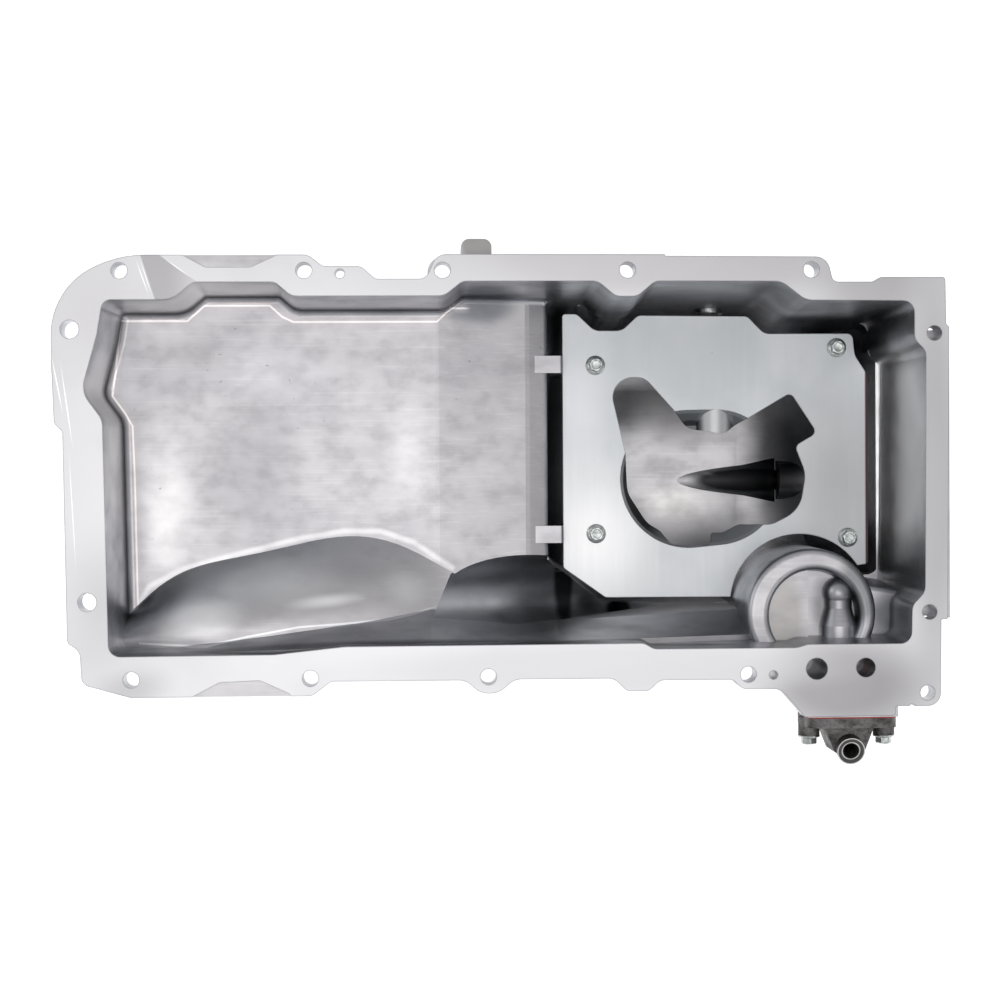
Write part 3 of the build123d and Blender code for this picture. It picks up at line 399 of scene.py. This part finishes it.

# painted highlight where the fillet round the front floor ends
FOOT_LINE = ((-228.5, -88), (-230.5, -60), (-231.8, 16), (-233, 50), (-237.5, 58), (-245.5, 69), (-244, 80),
             (-239.5, 116.5), (-198, 116.5), (-187.5, 126.2), (-146, 126.2), (-138, 119), (-131, 115.8),
             (-40, 115.8), (-31, 124.4), (24, 124.8))

# where the front floor meets the hump beside it
HUMP_RIM = ((-229, -61), (-223, -51.5), (-201.8, -40.5), (-166.5, -31.2), (-128.5, -22), (-100, -17.2),
            (-76.3, -17.4), (-55, -25), (-40.8, -34.5), (-31.2, -41))

# where that hump meets the wall
HUMP_FOOT = ((-226, -85.7), (-193.5, -87.2), (-182.9, -86.9), (-158.5, -81.8), (-127.2, -76.4),
             (-90.2, -74.2), (-71.6, -72.6), (-56.2, -69.6), (-43.6, -66), (-31, -62))


def die_cast_aluminium(settings):
    """Die-cast aluminium with a milled rail: a grey satin skin with flow streaks, painted light and shade
    and painted shade along the rail's sharp edges, bright where the cutter has passed."""
    material, tree, shader, where = new_material("die_cast_aluminium", settings.cast_roughness)
    material.diffuse_color = srgb(settings.cast_light)
    x, y, z = add(tree, "ShaderNodeSeparateXYZ", {0: where}).outputs
    normal = add(tree, "ShaderNodeNewGeometry").outputs["True Normal"]
    facing = add(tree, "ShaderNodeSeparateXYZ", {0: normal}).outputs
    up = fade(tree, facing[2], 0.985, 0.999)

    # milled faces: the rail, the port cover's pad, the bellhousing face, the ends of the drain and level
    # bosses and the filter's seat
    rail = product(tree, up, fade(tree, z, RAIL_Z - 0.5 * MM, RAIL_Z - 0.1 * MM))
    pad = product(tree, fade(tree, facing[1], -0.99, -0.999),
                  fade(tree, y, (PAD_Y + 0.3) * MM, (PAD_Y + 0.1) * MM))
    rear = product(tree, fade(tree, facing[0], 0.99, 0.999),
                   fade(tree, x, (REAR_X - 0.3) * MM, (REAR_X - 0.1) * MM))
    drain = product(tree, fade(tree, facing[0], 0.99, 0.999),
                    patch(tree, where, DRAIN, (3, 16, 16), 0.9))
    port = product(tree, fade(tree, facing[1], 0.99, 0.999),
                   patch(tree, where, LEVEL_PORT, (18, 3, 18), 0.9))
    seat = product(tree, fade(tree, facing[2], -0.99, -0.999),
                   patch(tree, where, (*FILTER, SEAT_Z), (37, 37, 3), 0.97))
    milled = union(tree, rail, pad, rear, drain, port, seat)

    # cast skin: broad mottled clouds, faint streaks that run along the pan, small stains, and painted shade
    # that darkens the walls, the faces that don't look up
    clouds = grain(tree, where, (70, 52, 50), 3.0, 0.5)
    mottle = grain(tree, where, (19, 13, 14), 4.0, 0.58, 3.1)
    drag = grain(tree, where, (60, 1.5, 3), 2.0, 0.5, 7.3)
    specks = grain(tree, where, (3.4, 2.6, 3), 2.0, 0.5, 11.7)
    level = fade(tree, facing[2], 0.80, 0.97)
    tone = blend(tree, fade(tree, clouds, 0.40, 0.66), settings.cast_light, "B3B1B4")
    tone = blend(tree, product(tree, fade(tree, mottle, 0.46, 0.78), 0.34), tone, "99979A")
    tone = blend(tree, product(tree, fade(tree, drag, 0.55, 0.70), 0.10), tone, "F2F2F2")
    # the walls, the faces that don't look up, get a darker skin: painted shade
    walls = blend(tree, fade(tree, clouds, 0.40, 0.62), "C4C6CA", settings.cast_wall_shade)
    walls = blend(tree, product(tree, fade(tree, mottle, 0.44, 0.80), 0.34), walls, "7E8186")
    outside = blend(tree, level, walls, tone)
    # soft painted light and shade over the skin, with some uneven tone
    skin = paint(tree, where, outside, SKIN_SHADE_AND_TONES)

    # dark pits in the front floor
    floor = product(tree, band(tree, z, 126 * MM, 143 * MM, 1.5 * MM), fade(tree, x, 32 * MM, 28 * MM), level)
    pits = product(tree, floor, fade(tree, specks, 0.70, 0.76), fade(tree, clouds, 0.48, 0.6))
    skin = blend(tree, product(tree, pits, 0.6), skin, "7C7A7E")

    # foot of the front walls: painted shade above the fillet, a duller painted band and a fine painted
    # highlight on it
    beside = union(tree, fade(tree, x, -216 * MM, -224 * MM), fade(tree, y, 92 * MM, 100 * MM))
    foot_shade = product(tree, beside, fade(tree, z, 160 * MM, 144 * MM), fade(tree, z, 141 * MM, 143.4 * MM),
                     fade(tree, x, 30 * MM, 10 * MM))
    skin = blend(tree, product(tree, foot_shade, 0.75), skin, "43464A")
    low = band(tree, z, 137 * MM, 143.5 * MM, 0.5 * MM)
    gap = path_gap(tree, where, FOOT_LINE)
    skin = blend(tree, product(tree, low, fade(tree, gap, 4.2 * MM, 1.2 * MM), 0.50), skin, "C4BBBC")
    skin = blend(tree, product(tree, low, fade(tree, gap, 0.9 * MM, 0.3 * MM), 0.8), skin, "FAF7F6")

    # painted highlight on the floor round the hump, and a fine painted highlight where the hump meets the
    # wall
    gap = path_gap(tree, where, HUMP_RIM)
    skin = blend(tree, product(tree, low, level, fade(tree, gap, 3.0 * MM, 0.2 * MM), 0.5), skin, "F2F1F2")
    gap = path_gap(tree, where, HUMP_FOOT)
    line = product(tree, fade(tree, gap, 0.9 * MM, 0.3 * MM), fade(tree, z, 144 * MM, 150 * MM), 0.7)
    skin = blend(tree, line, skin, "F8F8FA")

    # these marks are on the inner faces alone, the ones that look towards the middle of the sump
    from_middle = add(tree, "ShaderNodeVectorMath", {0: where, 1: SUMP_MIDDLE * MM},
                      operation="SUBTRACT").outputs[0]
    from_middle = add(tree, "ShaderNodeVectorMath", {0: from_middle, 1: (0.3, 1, 0)},
                      operation="MULTIPLY").outputs[0]
    from_middle = add(tree, "ShaderNodeVectorMath", {0: from_middle}, operation="NORMALIZE").outputs[0]
    away = add(tree, "ShaderNodeVectorMath", {0: from_middle, 1: normal},
               operation="DOT_PRODUCT").outputs["Value"]
    inner = product(tree, fade(tree, away, 0.35, 0.2), fade(tree, facing[2], -0.3, -0.1))
    skin = blend(tree, inner, outside, skin)

    # rail: broad painted sheen and shade, a dull wedge at the front, scratches and painted shade along its
    # sharp edges
    wedge = product(tree, beyond(tree, where, (-209.8, 124.4), (-218, 150)),
                    beyond(tree, where, (-206.5, 150.5), (-186.3, 136)), fade(tree, x, -170 * MM, -205 * MM))
    bright = blend(tree, product(tree, fade(tree, clouds, 0.40, 0.66), 0.35), settings.milled, "BFBEC0")
    bright = paint(tree, where, bright, RAIL_SHEEN_AND_SHADE)
    bright = blend(tree, product(tree, wedge, 0.8), bright, "9D9B9C")
    for start, end, width in RAIL_LINES:
        bright = blend(tree, product(tree, streak(tree, where, start, end, width), 0.9), bright, "FFFFFF")
    # painted shade along the rail's sharp edges
    bright = blend(tree, product(tree, outline(tree), 0.75), bright, "4B4B50")
    colour = blend(tree, milled, skin, bright)

    # brown walls of the rear oil passage
    outlet = patch(tree, where, OIL_OUTLET, (6.6, 6.6, 21), 0.95)
    colour = blend(tree, product(tree, outlet, fade(tree, z, 205.6 * MM, 205 * MM), 0.8), colour, "6A3A2E")
    tree.links.new(colour, shader.inputs["Base Color"])

    # gloss and relief
    rough = settings.cast_roughness
    cast_gloss = fade(tree, mottle, 0.3, 0.7, rough - 0.03, rough + 0.05)
    tree.links.new(mixed(tree, milled, cast_gloss, settings.milled_roughness), shader.inputs["Roughness"])
    lumps = grain(tree, where, (9, 6, 7), 4.0, 0.6, 5.5)
    uneven = mixed(tree, milled, lumps, 0.5)
    relief(tree, shader, uneven, 0.09 * MM, 0.5)
    return material


def baffle_sheet():
    """Pressed, zinc-grey steel sheet: nearly even satin grey, faint rolling grain and a few fine specks."""
    material, tree, shader, where = new_material("pressed_sheet_steel", 0.42)
    x, y, z = add(tree, "ShaderNodeSeparateXYZ", {0: where}).outputs
    clouds = grain(tree, where, (60, 60, 20), 3.0, 0.5)
    rolling = grain(tree, where, (1.1, 60, 8), 2.0, 0.5, 2.0)
    specks = grain(tree, where, (1.8, 1.6, 2), 1.0, 0.5, 9.0)
    tone = blend(tree, fade(tree, clouds, 0.35, 0.65), "CBCDCF", "BFC2C4")
    # painted light and shade across the sheet
    tone = paint(tree, where, tone, BAFFLE_LIGHT_AND_SHADE)
    tone = blend(tree, fade(tree, x, 239.2 * MM, 240.2 * MM), tone, "4A3836")
    tone = blend(tree, product(tree, fade(tree, specks, 0.80, 0.83), 0.8), tone, "5C5F62")

    # the dish below the sheet: painted shade, darker towards +y and nearly black where it looks to the rear,
    # painted shade along the sharp edges, a painted shade spot and a painted highlight on the swell
    dish = fade(tree, z, 116.4 * MM, 115.6 * MM)
    normal = add(tree, "ShaderNodeNewGeometry").outputs["True Normal"]
    slope = add(tree, "ShaderNodeSeparateXYZ", {0: normal}).outputs[0]
    upper = fade(tree, y, 20 * MM, 56 * MM)
    tone = blend(tree, product(tree, dish, 0.6), tone, blend(tree, upper, "A9ACAE", "75797B"))
    tone = blend(tree, product(tree, dish, fade(tree, slope, 0.25, 0.5), 0.85), tone, "2A2C2E")
    tone = blend(tree, product(tree, outline(tree), 0.7), tone, "43474A")
    # painted shade spot beside the swell
    spot = patch(tree, where, (126, 49, 108), (9, 9, 5), 0.7)
    tone = blend(tree, product(tree, spot, 0.8), tone, "55595C")
    # painted highlight on the swell
    swell = patch(tree, where, (142, 50, 114), (13, 15, 9), 0.8)
    tone = blend(tree, product(tree, swell, 0.9), tone, "C2C4C5")
    tree.links.new(tone, shader.inputs["Base Color"])
    tree.links.new(fade(tree, rolling, 0.2, 0.8, 0.41, 0.44), shader.inputs["Roughness"])
    relief(tree, shader, rolling, 0.004 * MM, 0.3)
    material.diffuse_color = srgb("C5C8CA")
    return material


def sand_cast_cover():
    """Rough cast aluminium cover: dull, dark and grainy, with bright rings on its machined port face."""
    material, tree, shader, where = new_material("rough_cast_aluminium", 0.55)
    normal = add(tree, "ShaderNodeNewGeometry").outputs["True Normal"]
    lean = add(tree, "ShaderNodeVectorMath", {0: normal, 1: COVER_PORT_NORMAL},
               operation="DOT_PRODUCT").outputs["Value"]
    face = product(tree, fade(tree, lean, 0.99, 0.999), patch(tree, where, COVER_PORT, (10, 10, 10), 0.9))
    sand = grain(tree, where, (1.6, 1.6, 1.6), 5.0, 0.65)
    clouds = grain(tree, where, (14, 10, 9), 4.0, 0.6, 4.0)
    tone = blend(tree, fade(tree, clouds, 0.38, 0.66), "7C7A79", "474544")
    tone = blend(tree, product(tree, fade(tree, sand, 0.58, 0.72), 0.35), tone, "2E2C2B")
    # painted highlight on the cover
    painted_sheen = patch(tree, where, (198, -138, 188), (14, 9, 20), 0.1)
    tone = blend(tree, product(tree, painted_sheen, 0.25), tone, "A09D9B")
    tone = blend(tree, face, tone, "5C5B5A")
    far = add(tree, "ShaderNodeVectorMath", {0: where, 1: COVER_PORT * MM},
              operation="DISTANCE").outputs["Value"]
    for radius in (8.3, 5.6):
        ring = band(tree, far, (radius - 0.35) * MM, (radius + 0.35) * MM, 0.12 * MM)
        tone = blend(tree, product(tree, ring, face), tone, "E4E4E2")
    tree.links.new(tone, shader.inputs["Base Color"])
    gloss = mixed(tree, face, fade(tree, sand, 0.3, 0.7, 0.45, 0.68), 0.3)
    tree.links.new(gloss, shader.inputs["Roughness"])
    relief(tree, shader, sand, 0.35 * MM, 0.8)
    material.diffuse_color = srgb("75716E")
    return material


def zinc_plate(name, colour, roughness):
    """Zinc-plated steel: bright grey with faint blotches."""
    material, tree, shader, where = new_material(name, roughness, colour)
    blotches = grain(tree, where, (2.4, 2.4, 2.4), 3.0, 0.6)
    tree.links.new(blend(tree, fade(tree, blotches, 0.4, 0.7), colour, "9EA3A0"), shader.inputs["Base Color"])
    gloss = fade(tree, blotches, 0.3, 0.7, roughness - 0.05, roughness + 0.08)
    tree.links.new(gloss, shader.inputs["Roughness"])
    relief(tree, shader, blotches, 0.03 * MM, 0.4)
    return material


def red_gasket():
    """Moulded silicone rubber: red, slightly glossy, lightly mottled."""
    material, tree, shader, where = new_material("silicone_rubber_red", 0.45, metallic=0.0)
    mottle = grain(tree, where, (3, 3, 3), 3.0)
    tree.links.new(blend(tree, mottle, "B5352A", "8E2019"), shader.inputs["Base Color"])
    material.diffuse_color = srgb("B5352A")
    return material


def soft_washer():
    """Soft aluminium washer: pale, satin, with fine turning rings."""
    material, tree, shader, where = new_material("turned_soft_aluminium", 0.35, "D6D6D6")
    turned = grain(tree, where, (0.8, 0.8, 0.8), 2.0)
    tree.links.new(fade(tree, turned, 0.3, 0.7, 0.3, 0.42), shader.inputs["Roughness"])
    relief(tree, shader, turned, 0.02 * MM, 0.4)
    return material


# ---------------------------------------------------------------- screws and plugs

SHANK = 2.95 * MM           # radius of the M6 screws' shanks, just inside their nominal 3 mm
WASHER = 1.6                # thickness of the washers under the plugs, in millimetres
NIPPLE_Z = SEAT_Z - 13      # the filter nipple's lower end, in millimetres

# seat of each screw in millimetres, and its turn in degrees
BAFFLE_SCREWS = (((63, 89, 118), 12), ((63, -20.5, 118), 20), ((221, 100, 118), 8), ((228, -24, 118), 16))
COVER_SCREWS = (((189.6, -145, 180), 0), ((236.5, -145, 180), 30))


def hexagon(flats, corner):
    """Reach of a hexagon at any angle, cut off at the corner radius."""
    def reach(angle):
        fold = (angle + pi / 6) % (pi / 3) - pi / 6
        return min(flats / cos(fold), corner)
    return reach


def lathe(bm, rings, sides, place, hollow=False):
    """Closed body from rings of (height, reach); reach is a radius or a function of the angle.
    The last ring of a hollow body joins its first."""
    loops = []
    for height, reach in rings:
        loop = []
        for i in range(sides):
            angle = tau * i / sides
            radius = reach(angle) if callable(reach) else reach
            loop.append(bm.verts.new(place @ Vector((radius * cos(angle), radius * sin(angle), height))))
        loops.append(loop)
    following = loops[1:] + loops[:1] if hollow else loops[1:]
    for low, high in zip(loops, following):
        for i in range(sides):
            j = (i + 1) % sides
            bm.faces.new((low[i], low[j], high[j], high[i]))
    if not hollow:
        bm.faces.new(loops[0][::-1])
        bm.faces.new(loops[-1])


def screw_rings(flange, flats, head, length):
    """Rings of a flanged hex screw, from the shank's tip to the dished top of its head."""
    corner = flats * 1.13
    skirt = 0.30 * head
    dish = 0.62 * flats
    return [
        (-length, SHANK - 0.6 * MM), (-length + 0.6 * MM, SHANK), (0.0, SHANK),
        (0.0, flange - 0.3 * MM), (0.25 * MM, flange), (skirt * 0.55, flange - 0.1 * MM),
        (skirt, flats * 1.16), (skirt + 0.1 * MM, hexagon(flats, corner)),
        (head - 0.9 * MM, hexagon(flats, corner)), (head - 0.45 * MM, hexagon(flats * 0.985, corner * 0.965)),
        (head, hexagon(flats * 0.90, flats * 0.91)), (head, dish + 0.3 * MM), (head - 0.5 * MM, dish),
        (head - 0.7 * MM, 0.35 * dish),
    ]


def plug_rings(flange, flats, head, shank, length):
    """Rings of a flanged hex plug with a chamfered flat top and a long chamfer on its thread's end."""
    corner = flats * 1.135
    skirt = 0.3 * head
    return [
        (-length, shank - 1.4 * MM), (-length + 1.4 * MM, shank), (0.0, shank),
        (0.0, flange - 0.5 * MM), (0.4 * MM, flange), (skirt - 0.4 * MM, flange), (skirt, flange - 0.5 * MM),
        (skirt, hexagon(flats, corner)), (head - 1.0 * MM, hexagon(flats, corner)),
        (head, hexagon(flats * 0.95, flats * 0.96)),
    ]


def thread_rings(low, high, root, crest, pitch):
    """Rings of a helical thread between two heights; it runs out into its root at both ends."""
    steps = round((high - low) / pitch * 8)
    rings = []
    for k in range(steps + 1):
        height = low + (high - low) * k / steps
        run_out = min(1.0, k / 8, (steps - k) / 8)

        def reach(angle, height=height, run_out=run_out):
            turn = (height / pitch - angle / tau) % 1.0
            tooth = max(0.0, 1.0 - abs(turn - 0.5) * 2.6)
            return root + (crest - root) * run_out * min(1.0, 1.25 * tooth)
        rings.append((height, reach))
    return rings


def screw_piece(name, rings, material):
    """One screw with its seat at the origin, for repeat to copy."""
    bm = bmesh.new()
    lathe(bm, rings, 48, Matrix.Identity(4))
    return solid_piece(name, bm, material)


def repeat_tree(name):
    """Geometry Nodes: puts a master piece on every point, turned by the point's own angle and tilted."""
    tree = bpy.data.node_groups.new(name, "GeometryNodeTree")
    face = tree.interface
    face.new_socket("Points", in_out="INPUT", socket_type="NodeSocketGeometry")
    face.new_socket("Piece", in_out="INPUT", socket_type="NodeSocketObject")
    face.new_socket("Tilt", in_out="INPUT", socket_type="NodeSocketVector")
    face.new_socket("Finish", in_out="INPUT", socket_type="NodeSocketMaterial")
    face.new_socket("Result", in_out="OUTPUT", socket_type="NodeSocketGeometry")
    given = add(tree, "NodeGroupInput").outputs
    master = add(tree, "GeometryNodeObjectInfo", {"Object": given["Piece"]}).outputs["Geometry"]
    turn = add(tree, "GeometryNodeInputNamedAttribute", {"Name": "turn"},
               data_type="FLOAT").outputs["Attribute"]
    about_axis = add(tree, "ShaderNodeCombineXYZ", {"Z": turn}).outputs[0]
    spin = add(tree, "FunctionNodeRotateEuler", {"Rotation": about_axis, "Rotate By": given["Tilt"]},
               rotation_type="EULER", space="OBJECT").outputs[0]
    placed = add(tree, "GeometryNodeInstanceOnPoints",
                 {"Points": given["Points"], "Instance": master, "Rotation": spin}).outputs[0]
    real = add(tree, "GeometryNodeRealizeInstances", {"Geometry": placed}).outputs[0]
    coated = add(tree, "GeometryNodeSetMaterial", {"Geometry": real, "Material": given["Finish"]}).outputs[0]
    add(tree, "NodeGroupOutput", {"Result": coated})
    return tree


def repeat(name, seats, tilt, master, material):
    """A plain mesh of the master on every seat, made by the tree above; the master itself goes."""
    mesh = bpy.data.meshes.new(name)
    mesh.from_pydata([Vector(place) * MM for place, _ in seats], [], [])
    angles = mesh.attributes.new("turn", "FLOAT", "POINT")
    angles.data.foreach_set("value", [radians(turn) for _, turn in seats])
    holder = in_scene(name + ".points", mesh)
    modifier = holder.modifiers.new("repeat", "NODES")
    modifier.node_group = repeat_tree(name + "_pattern")
    inputs = {s.name: s.identifier for s in modifier.node_group.interface.items_tree if s.in_out == "INPUT"}
    modifier[inputs["Piece"]] = master
    modifier[inputs["Tilt"]] = tilt
    modifier[inputs["Finish"]] = material
    holder.update_tag()
    graph = bpy.context.evaluated_depsgraph_get()
    made = bpy.data.meshes.new_from_object(holder.evaluated_get(graph), depsgraph=graph)
    made.name = name
    smooth(made)
    bpy.data.objects.remove(holder)
    bpy.data.objects.remove(master)
    return in_scene(name, made)


def settle(piece, node):
    """The piece stands for its CAD node and rides on the pan."""
    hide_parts(node)
    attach(piece, "root")


# ---------------------------------------------------------------- operators

class FinishCasting(bpy.types.Operator):
    """Die-cast skin and milled faces of the pan"""
    bl_idname = "oil_pan.finish_casting"
    bl_label = "Finish casting"

    def execute(self, context):
        finish_node("pan_casting", die_cast_aluminium(context.scene.pan_finish))
        return {"FINISHED"}


class FinishBaffle(bpy.types.Operator):
    """Pressed sheet finish of the baffle"""
    bl_idname = "oil_pan.finish_baffle"
    bl_label = "Finish baffle"

    def execute(self, context):
        finish_node("baffle", baffle_sheet())
        return {"FINISHED"}


class FinishPortCover(bpy.types.Operator):
    """Rough cast cover and its red gasket"""
    bl_idname = "oil_pan.finish_port_cover"
    bl_label = "Finish port cover"

    def execute(self, context):
        finish_node("port_cover", sand_cast_cover())
        finish_node("port_cover_gasket", red_gasket())
        return {"FINISHED"}


class FinishWashers(bpy.types.Operator):
    """Soft washers under the two plugs"""
    bl_idname = "oil_pan.finish_washers"
    bl_label = "Finish washers"

    def execute(self, context):
        washer = soft_washer()
        finish_node("drain_plug_washer", washer)
        finish_node("level_port_washer", washer)
        return {"FINISHED"}


class MakeBaffleScrews(bpy.types.Operator):
    """Four flanged screws that hold the baffle"""
    bl_idname = "oil_pan.make_baffle_screws"
    bl_label = "Make baffle screws"

    def execute(self, context):
        sizes = context.scene.pan_hardware
        zinc = zinc_plate("zinc_plated_steel", sizes.zinc, 0.30)
        rings = screw_rings(sizes.baffle_flange, sizes.baffle_flats, sizes.baffle_head, length=13 * MM)
        master = screw_piece("baffle_screw", rings, zinc)
        upright = (0, 0, 0)
        screws = repeat("baffle_screws", BAFFLE_SCREWS, upright, master, zinc)
        settle(screws, "baffle_bolts")
        return {"FINISHED"}


class MakeCoverScrews(bpy.types.Operator):
    """Two flanged screws of the port cover"""
    bl_idname = "oil_pan.make_cover_screws"
    bl_label = "Make cover screws"

    def execute(self, context):
        sizes = context.scene.pan_hardware
        zinc = bpy.data.materials["zinc_plated_steel"]
        rings = screw_rings(sizes.cover_flange, sizes.cover_flats, sizes.cover_head, length=26 * MM)
        master = screw_piece("cover_screw", rings, zinc)
        heads_outward = (pi / 2, 0, 0)
        screws = repeat("cover_screws", COVER_SCREWS, heads_outward, master, zinc)
        settle(screws, "port_cover_bolts")
        return {"FINISHED"}


class MakePlugs(bpy.types.Operator):
    """Hex plugs of the drain and of the level port"""
    bl_idname = "oil_pan.make_plugs"
    bl_label = "Make plugs"

    def execute(self, context):
        sizes = context.scene.pan_hardware
        zinc = bpy.data.materials["zinc_plated_steel"]
        drain_seat = (DRAIN + Vector((WASHER, 0, 0))) * MM
        level_seat = (LEVEL_PORT + Vector((0, WASHER, 0))) * MM
        to_rear = Matrix.Translation(drain_seat) @ Matrix.Rotation(pi / 2, 4, "Y")
        to_side = Matrix.Translation(level_seat) @ Matrix.Rotation(-pi / 2, 4, "X")
        drain = plug_rings(flange=11.5 * MM, flats=sizes.drain_flats, head=11 * MM, shank=6.95 * MM,
                           length=25 * MM)
        level = plug_rings(flange=14 * MM, flats=sizes.level_flats, head=9 * MM, shank=9.45 * MM,
                           length=16 * MM)
        for name, node, place, rings in (("drain_screw_plug", "drain_plug", to_rear, drain),
                                         ("level_screw_plug", "level_port_plug", to_side, level)):
            bm = bmesh.new()
            lathe(bm, rings, 72, place)
            settle(solid_piece(name, bm, zinc), node)
        return {"FINISHED"}


class MakeNipple(bpy.types.Operator):
    """Threaded tube that the oil filter screws to"""
    bl_idname = "oil_pan.make_nipple"
    bl_label = "Make filter nipple"

    def execute(self, context):
        sizes = context.scene.pan_hardware
        bore, root, neck = 7.5 * MM, 10.0 * MM, 9.95 * MM
        thread_top, top = 10.6 * MM, 23.0 * MM
        thread = thread_rings(0.0, thread_top, root, sizes.nipple_crest, sizes.nipple_pitch)
        rings = [(0.0, root - 0.6 * MM), *thread, (thread_top + 1.2 * MM, neck), (top - 0.2 * MM, neck),
                 (top, neck - 0.2 * MM), (top, bore + 0.3 * MM), (top - 0.3 * MM, bore),
                 (0.5 * MM, bore), (0.0, bore + 0.5 * MM)]
        bm = bmesh.new()
        lathe(bm, rings, 64, Matrix.Translation(Vector((*FILTER, NIPPLE_Z)) * MM), hollow=True)
        steel = zinc_plate("phosphated_steel", "8F9092", 0.36)
        settle(solid_piece("threaded_nipple", bm, steel), "filter_nipple")
        return {"FINISHED"}


class BuildStudio(bpy.types.Operator):
    """Pale floor, soft lights, pale room and the camera"""
    bl_idname = "oil_pan.build_studio"
    bl_label = "Build studio"

    def execute(self, context):
        scene = context.scene
        studio = scene.pan_studio
        build_floor(studio)
        build_room(scene, studio)
        scene.view_settings.view_transform = "Standard"
        # places and sizes in metres
        soft_light("overhead", (-0.02, -0.10, 1.95), (1.5, 1.0), studio.key_power)
        soft_light("fill_front", (-1.5, 0.5, 0.9), (0.9, 0.9), studio.fill_power)
        soft_light("fill_rear", (1.4, -0.9, 0.9), (0.9, 0.9), studio.fill_power)
        place_camera(scene)
        return {"FINISHED"}


def build_floor(studio):
    """Pale matt floor that glows a little, as a light table does, just below the pan."""
    place = (0, 0, -0.5 * MM)
    bpy.ops.mesh.primitive_circle_add(vertices=96, radius=6.0, fill_type="NGON", location=place)
    floor = bpy.context.object
    floor.name = "studio_floor"
    material, _, shader, _ = new_material("matt_white_floor", 0.9, studio.floor, metallic=0.0)
    shader.inputs["Emission Color"].default_value = srgb(studio.floor)
    shader.inputs["Emission Strength"].default_value = studio.floor_glow
    floor.data.materials.append(material)


def build_room(scene, studio):
    """Even pale surroundings."""
    world = bpy.data.worlds.new("pale_room")
    world.use_nodes = True
    background = world.node_tree.nodes["Background"]
    background.inputs["Color"].default_value = srgb("FDFDFF")
    background.inputs["Strength"].default_value = studio.surround
    scene.world = world


def soft_light(name, place, size, power):
    """A rectangular soft box that looks at the pan's middle."""
    light = bpy.data.lights.new(name, "AREA")
    light.shape = "RECTANGLE"
    light.size, light.size_y = size
    light.energy = power
    lamp = in_scene(name, light)
    lamp.location = place
    lamp.rotation_euler = (Vector((0, 0, 0.15)) - Vector(place)).to_track_quat("-Z", "Y").to_euler()


def place_camera(scene):
    """Straight over the pan, 1.2 m above its rail, turned by a degree or two."""
    data = bpy.data.cameras.new("camera")
    data.sensor_width = 36.0
    data.lens = 71.405
    camera = in_scene("camera", data)

    # from the point of the rail's plane in the middle of the view, turned in degrees, then out along its axis
    placing = Matrix.Translation((-0.003, 0.0025, RAIL_Z))
    for angle, axis in ((-0.46657, "X"), (-2.27618, "Y"), (-0.33714, "Z")):
        placing = placing @ Matrix.Rotation(radians(angle), 4, axis)
    camera.matrix_world = placing @ Matrix.Translation((0, 0, 1.2))
    scene.camera = camera


# ---------------------------------------------------------------- panel and start

# the steps, in the order that main runs them
OPERATORS = (FinishCasting, FinishBaffle, FinishPortCover, FinishWashers, MakeBaffleScrews,
             MakeCoverScrews, MakePlugs, MakeNipple, BuildStudio)
GROUPS = (PanFinish, HardwareSizes, StudioSettings)


class OilPanPanel(bpy.types.Panel):
    """Lists the steps that dress the oil pan"""
    bl_idname = "VIEW3D_PT_oil_pan"
    bl_label = "Oil Pan"
    bl_space_type = "VIEW_3D"
    bl_region_type = "UI"
    bl_category = "Oil Pan"

    def draw(self, context):
        for settings in (context.scene.pan_finish, context.scene.pan_hardware, context.scene.pan_studio):
            box = self.layout.box()
            for name in settings.__annotations__:
                box.prop(settings, name)
        for operator in OPERATORS:
            self.layout.operator(operator.bl_idname)


def register():
    for cls in GROUPS + OPERATORS + (OilPanPanel,):
        bpy.utils.register_class(cls)
    bpy.types.Scene.pan_finish = bpy.props.PointerProperty(type=PanFinish)
    bpy.types.Scene.pan_hardware = bpy.props.PointerProperty(type=HardwareSizes)
    bpy.types.Scene.pan_studio = bpy.props.PointerProperty(type=StudioSettings)


def unregister():
    del bpy.types.Scene.pan_studio
    del bpy.types.Scene.pan_hardware
    del bpy.types.Scene.pan_finish
    for cls in reversed(GROUPS + OPERATORS + (OilPanPanel,)):
        bpy.utils.unregister_class(cls)


def main():
    register()
    for operator in OPERATORS:
        group, name = operator.bl_idname.split(".")
        getattr(getattr(bpy.ops, group), name)()


if __name__ == "__main__":
    main()
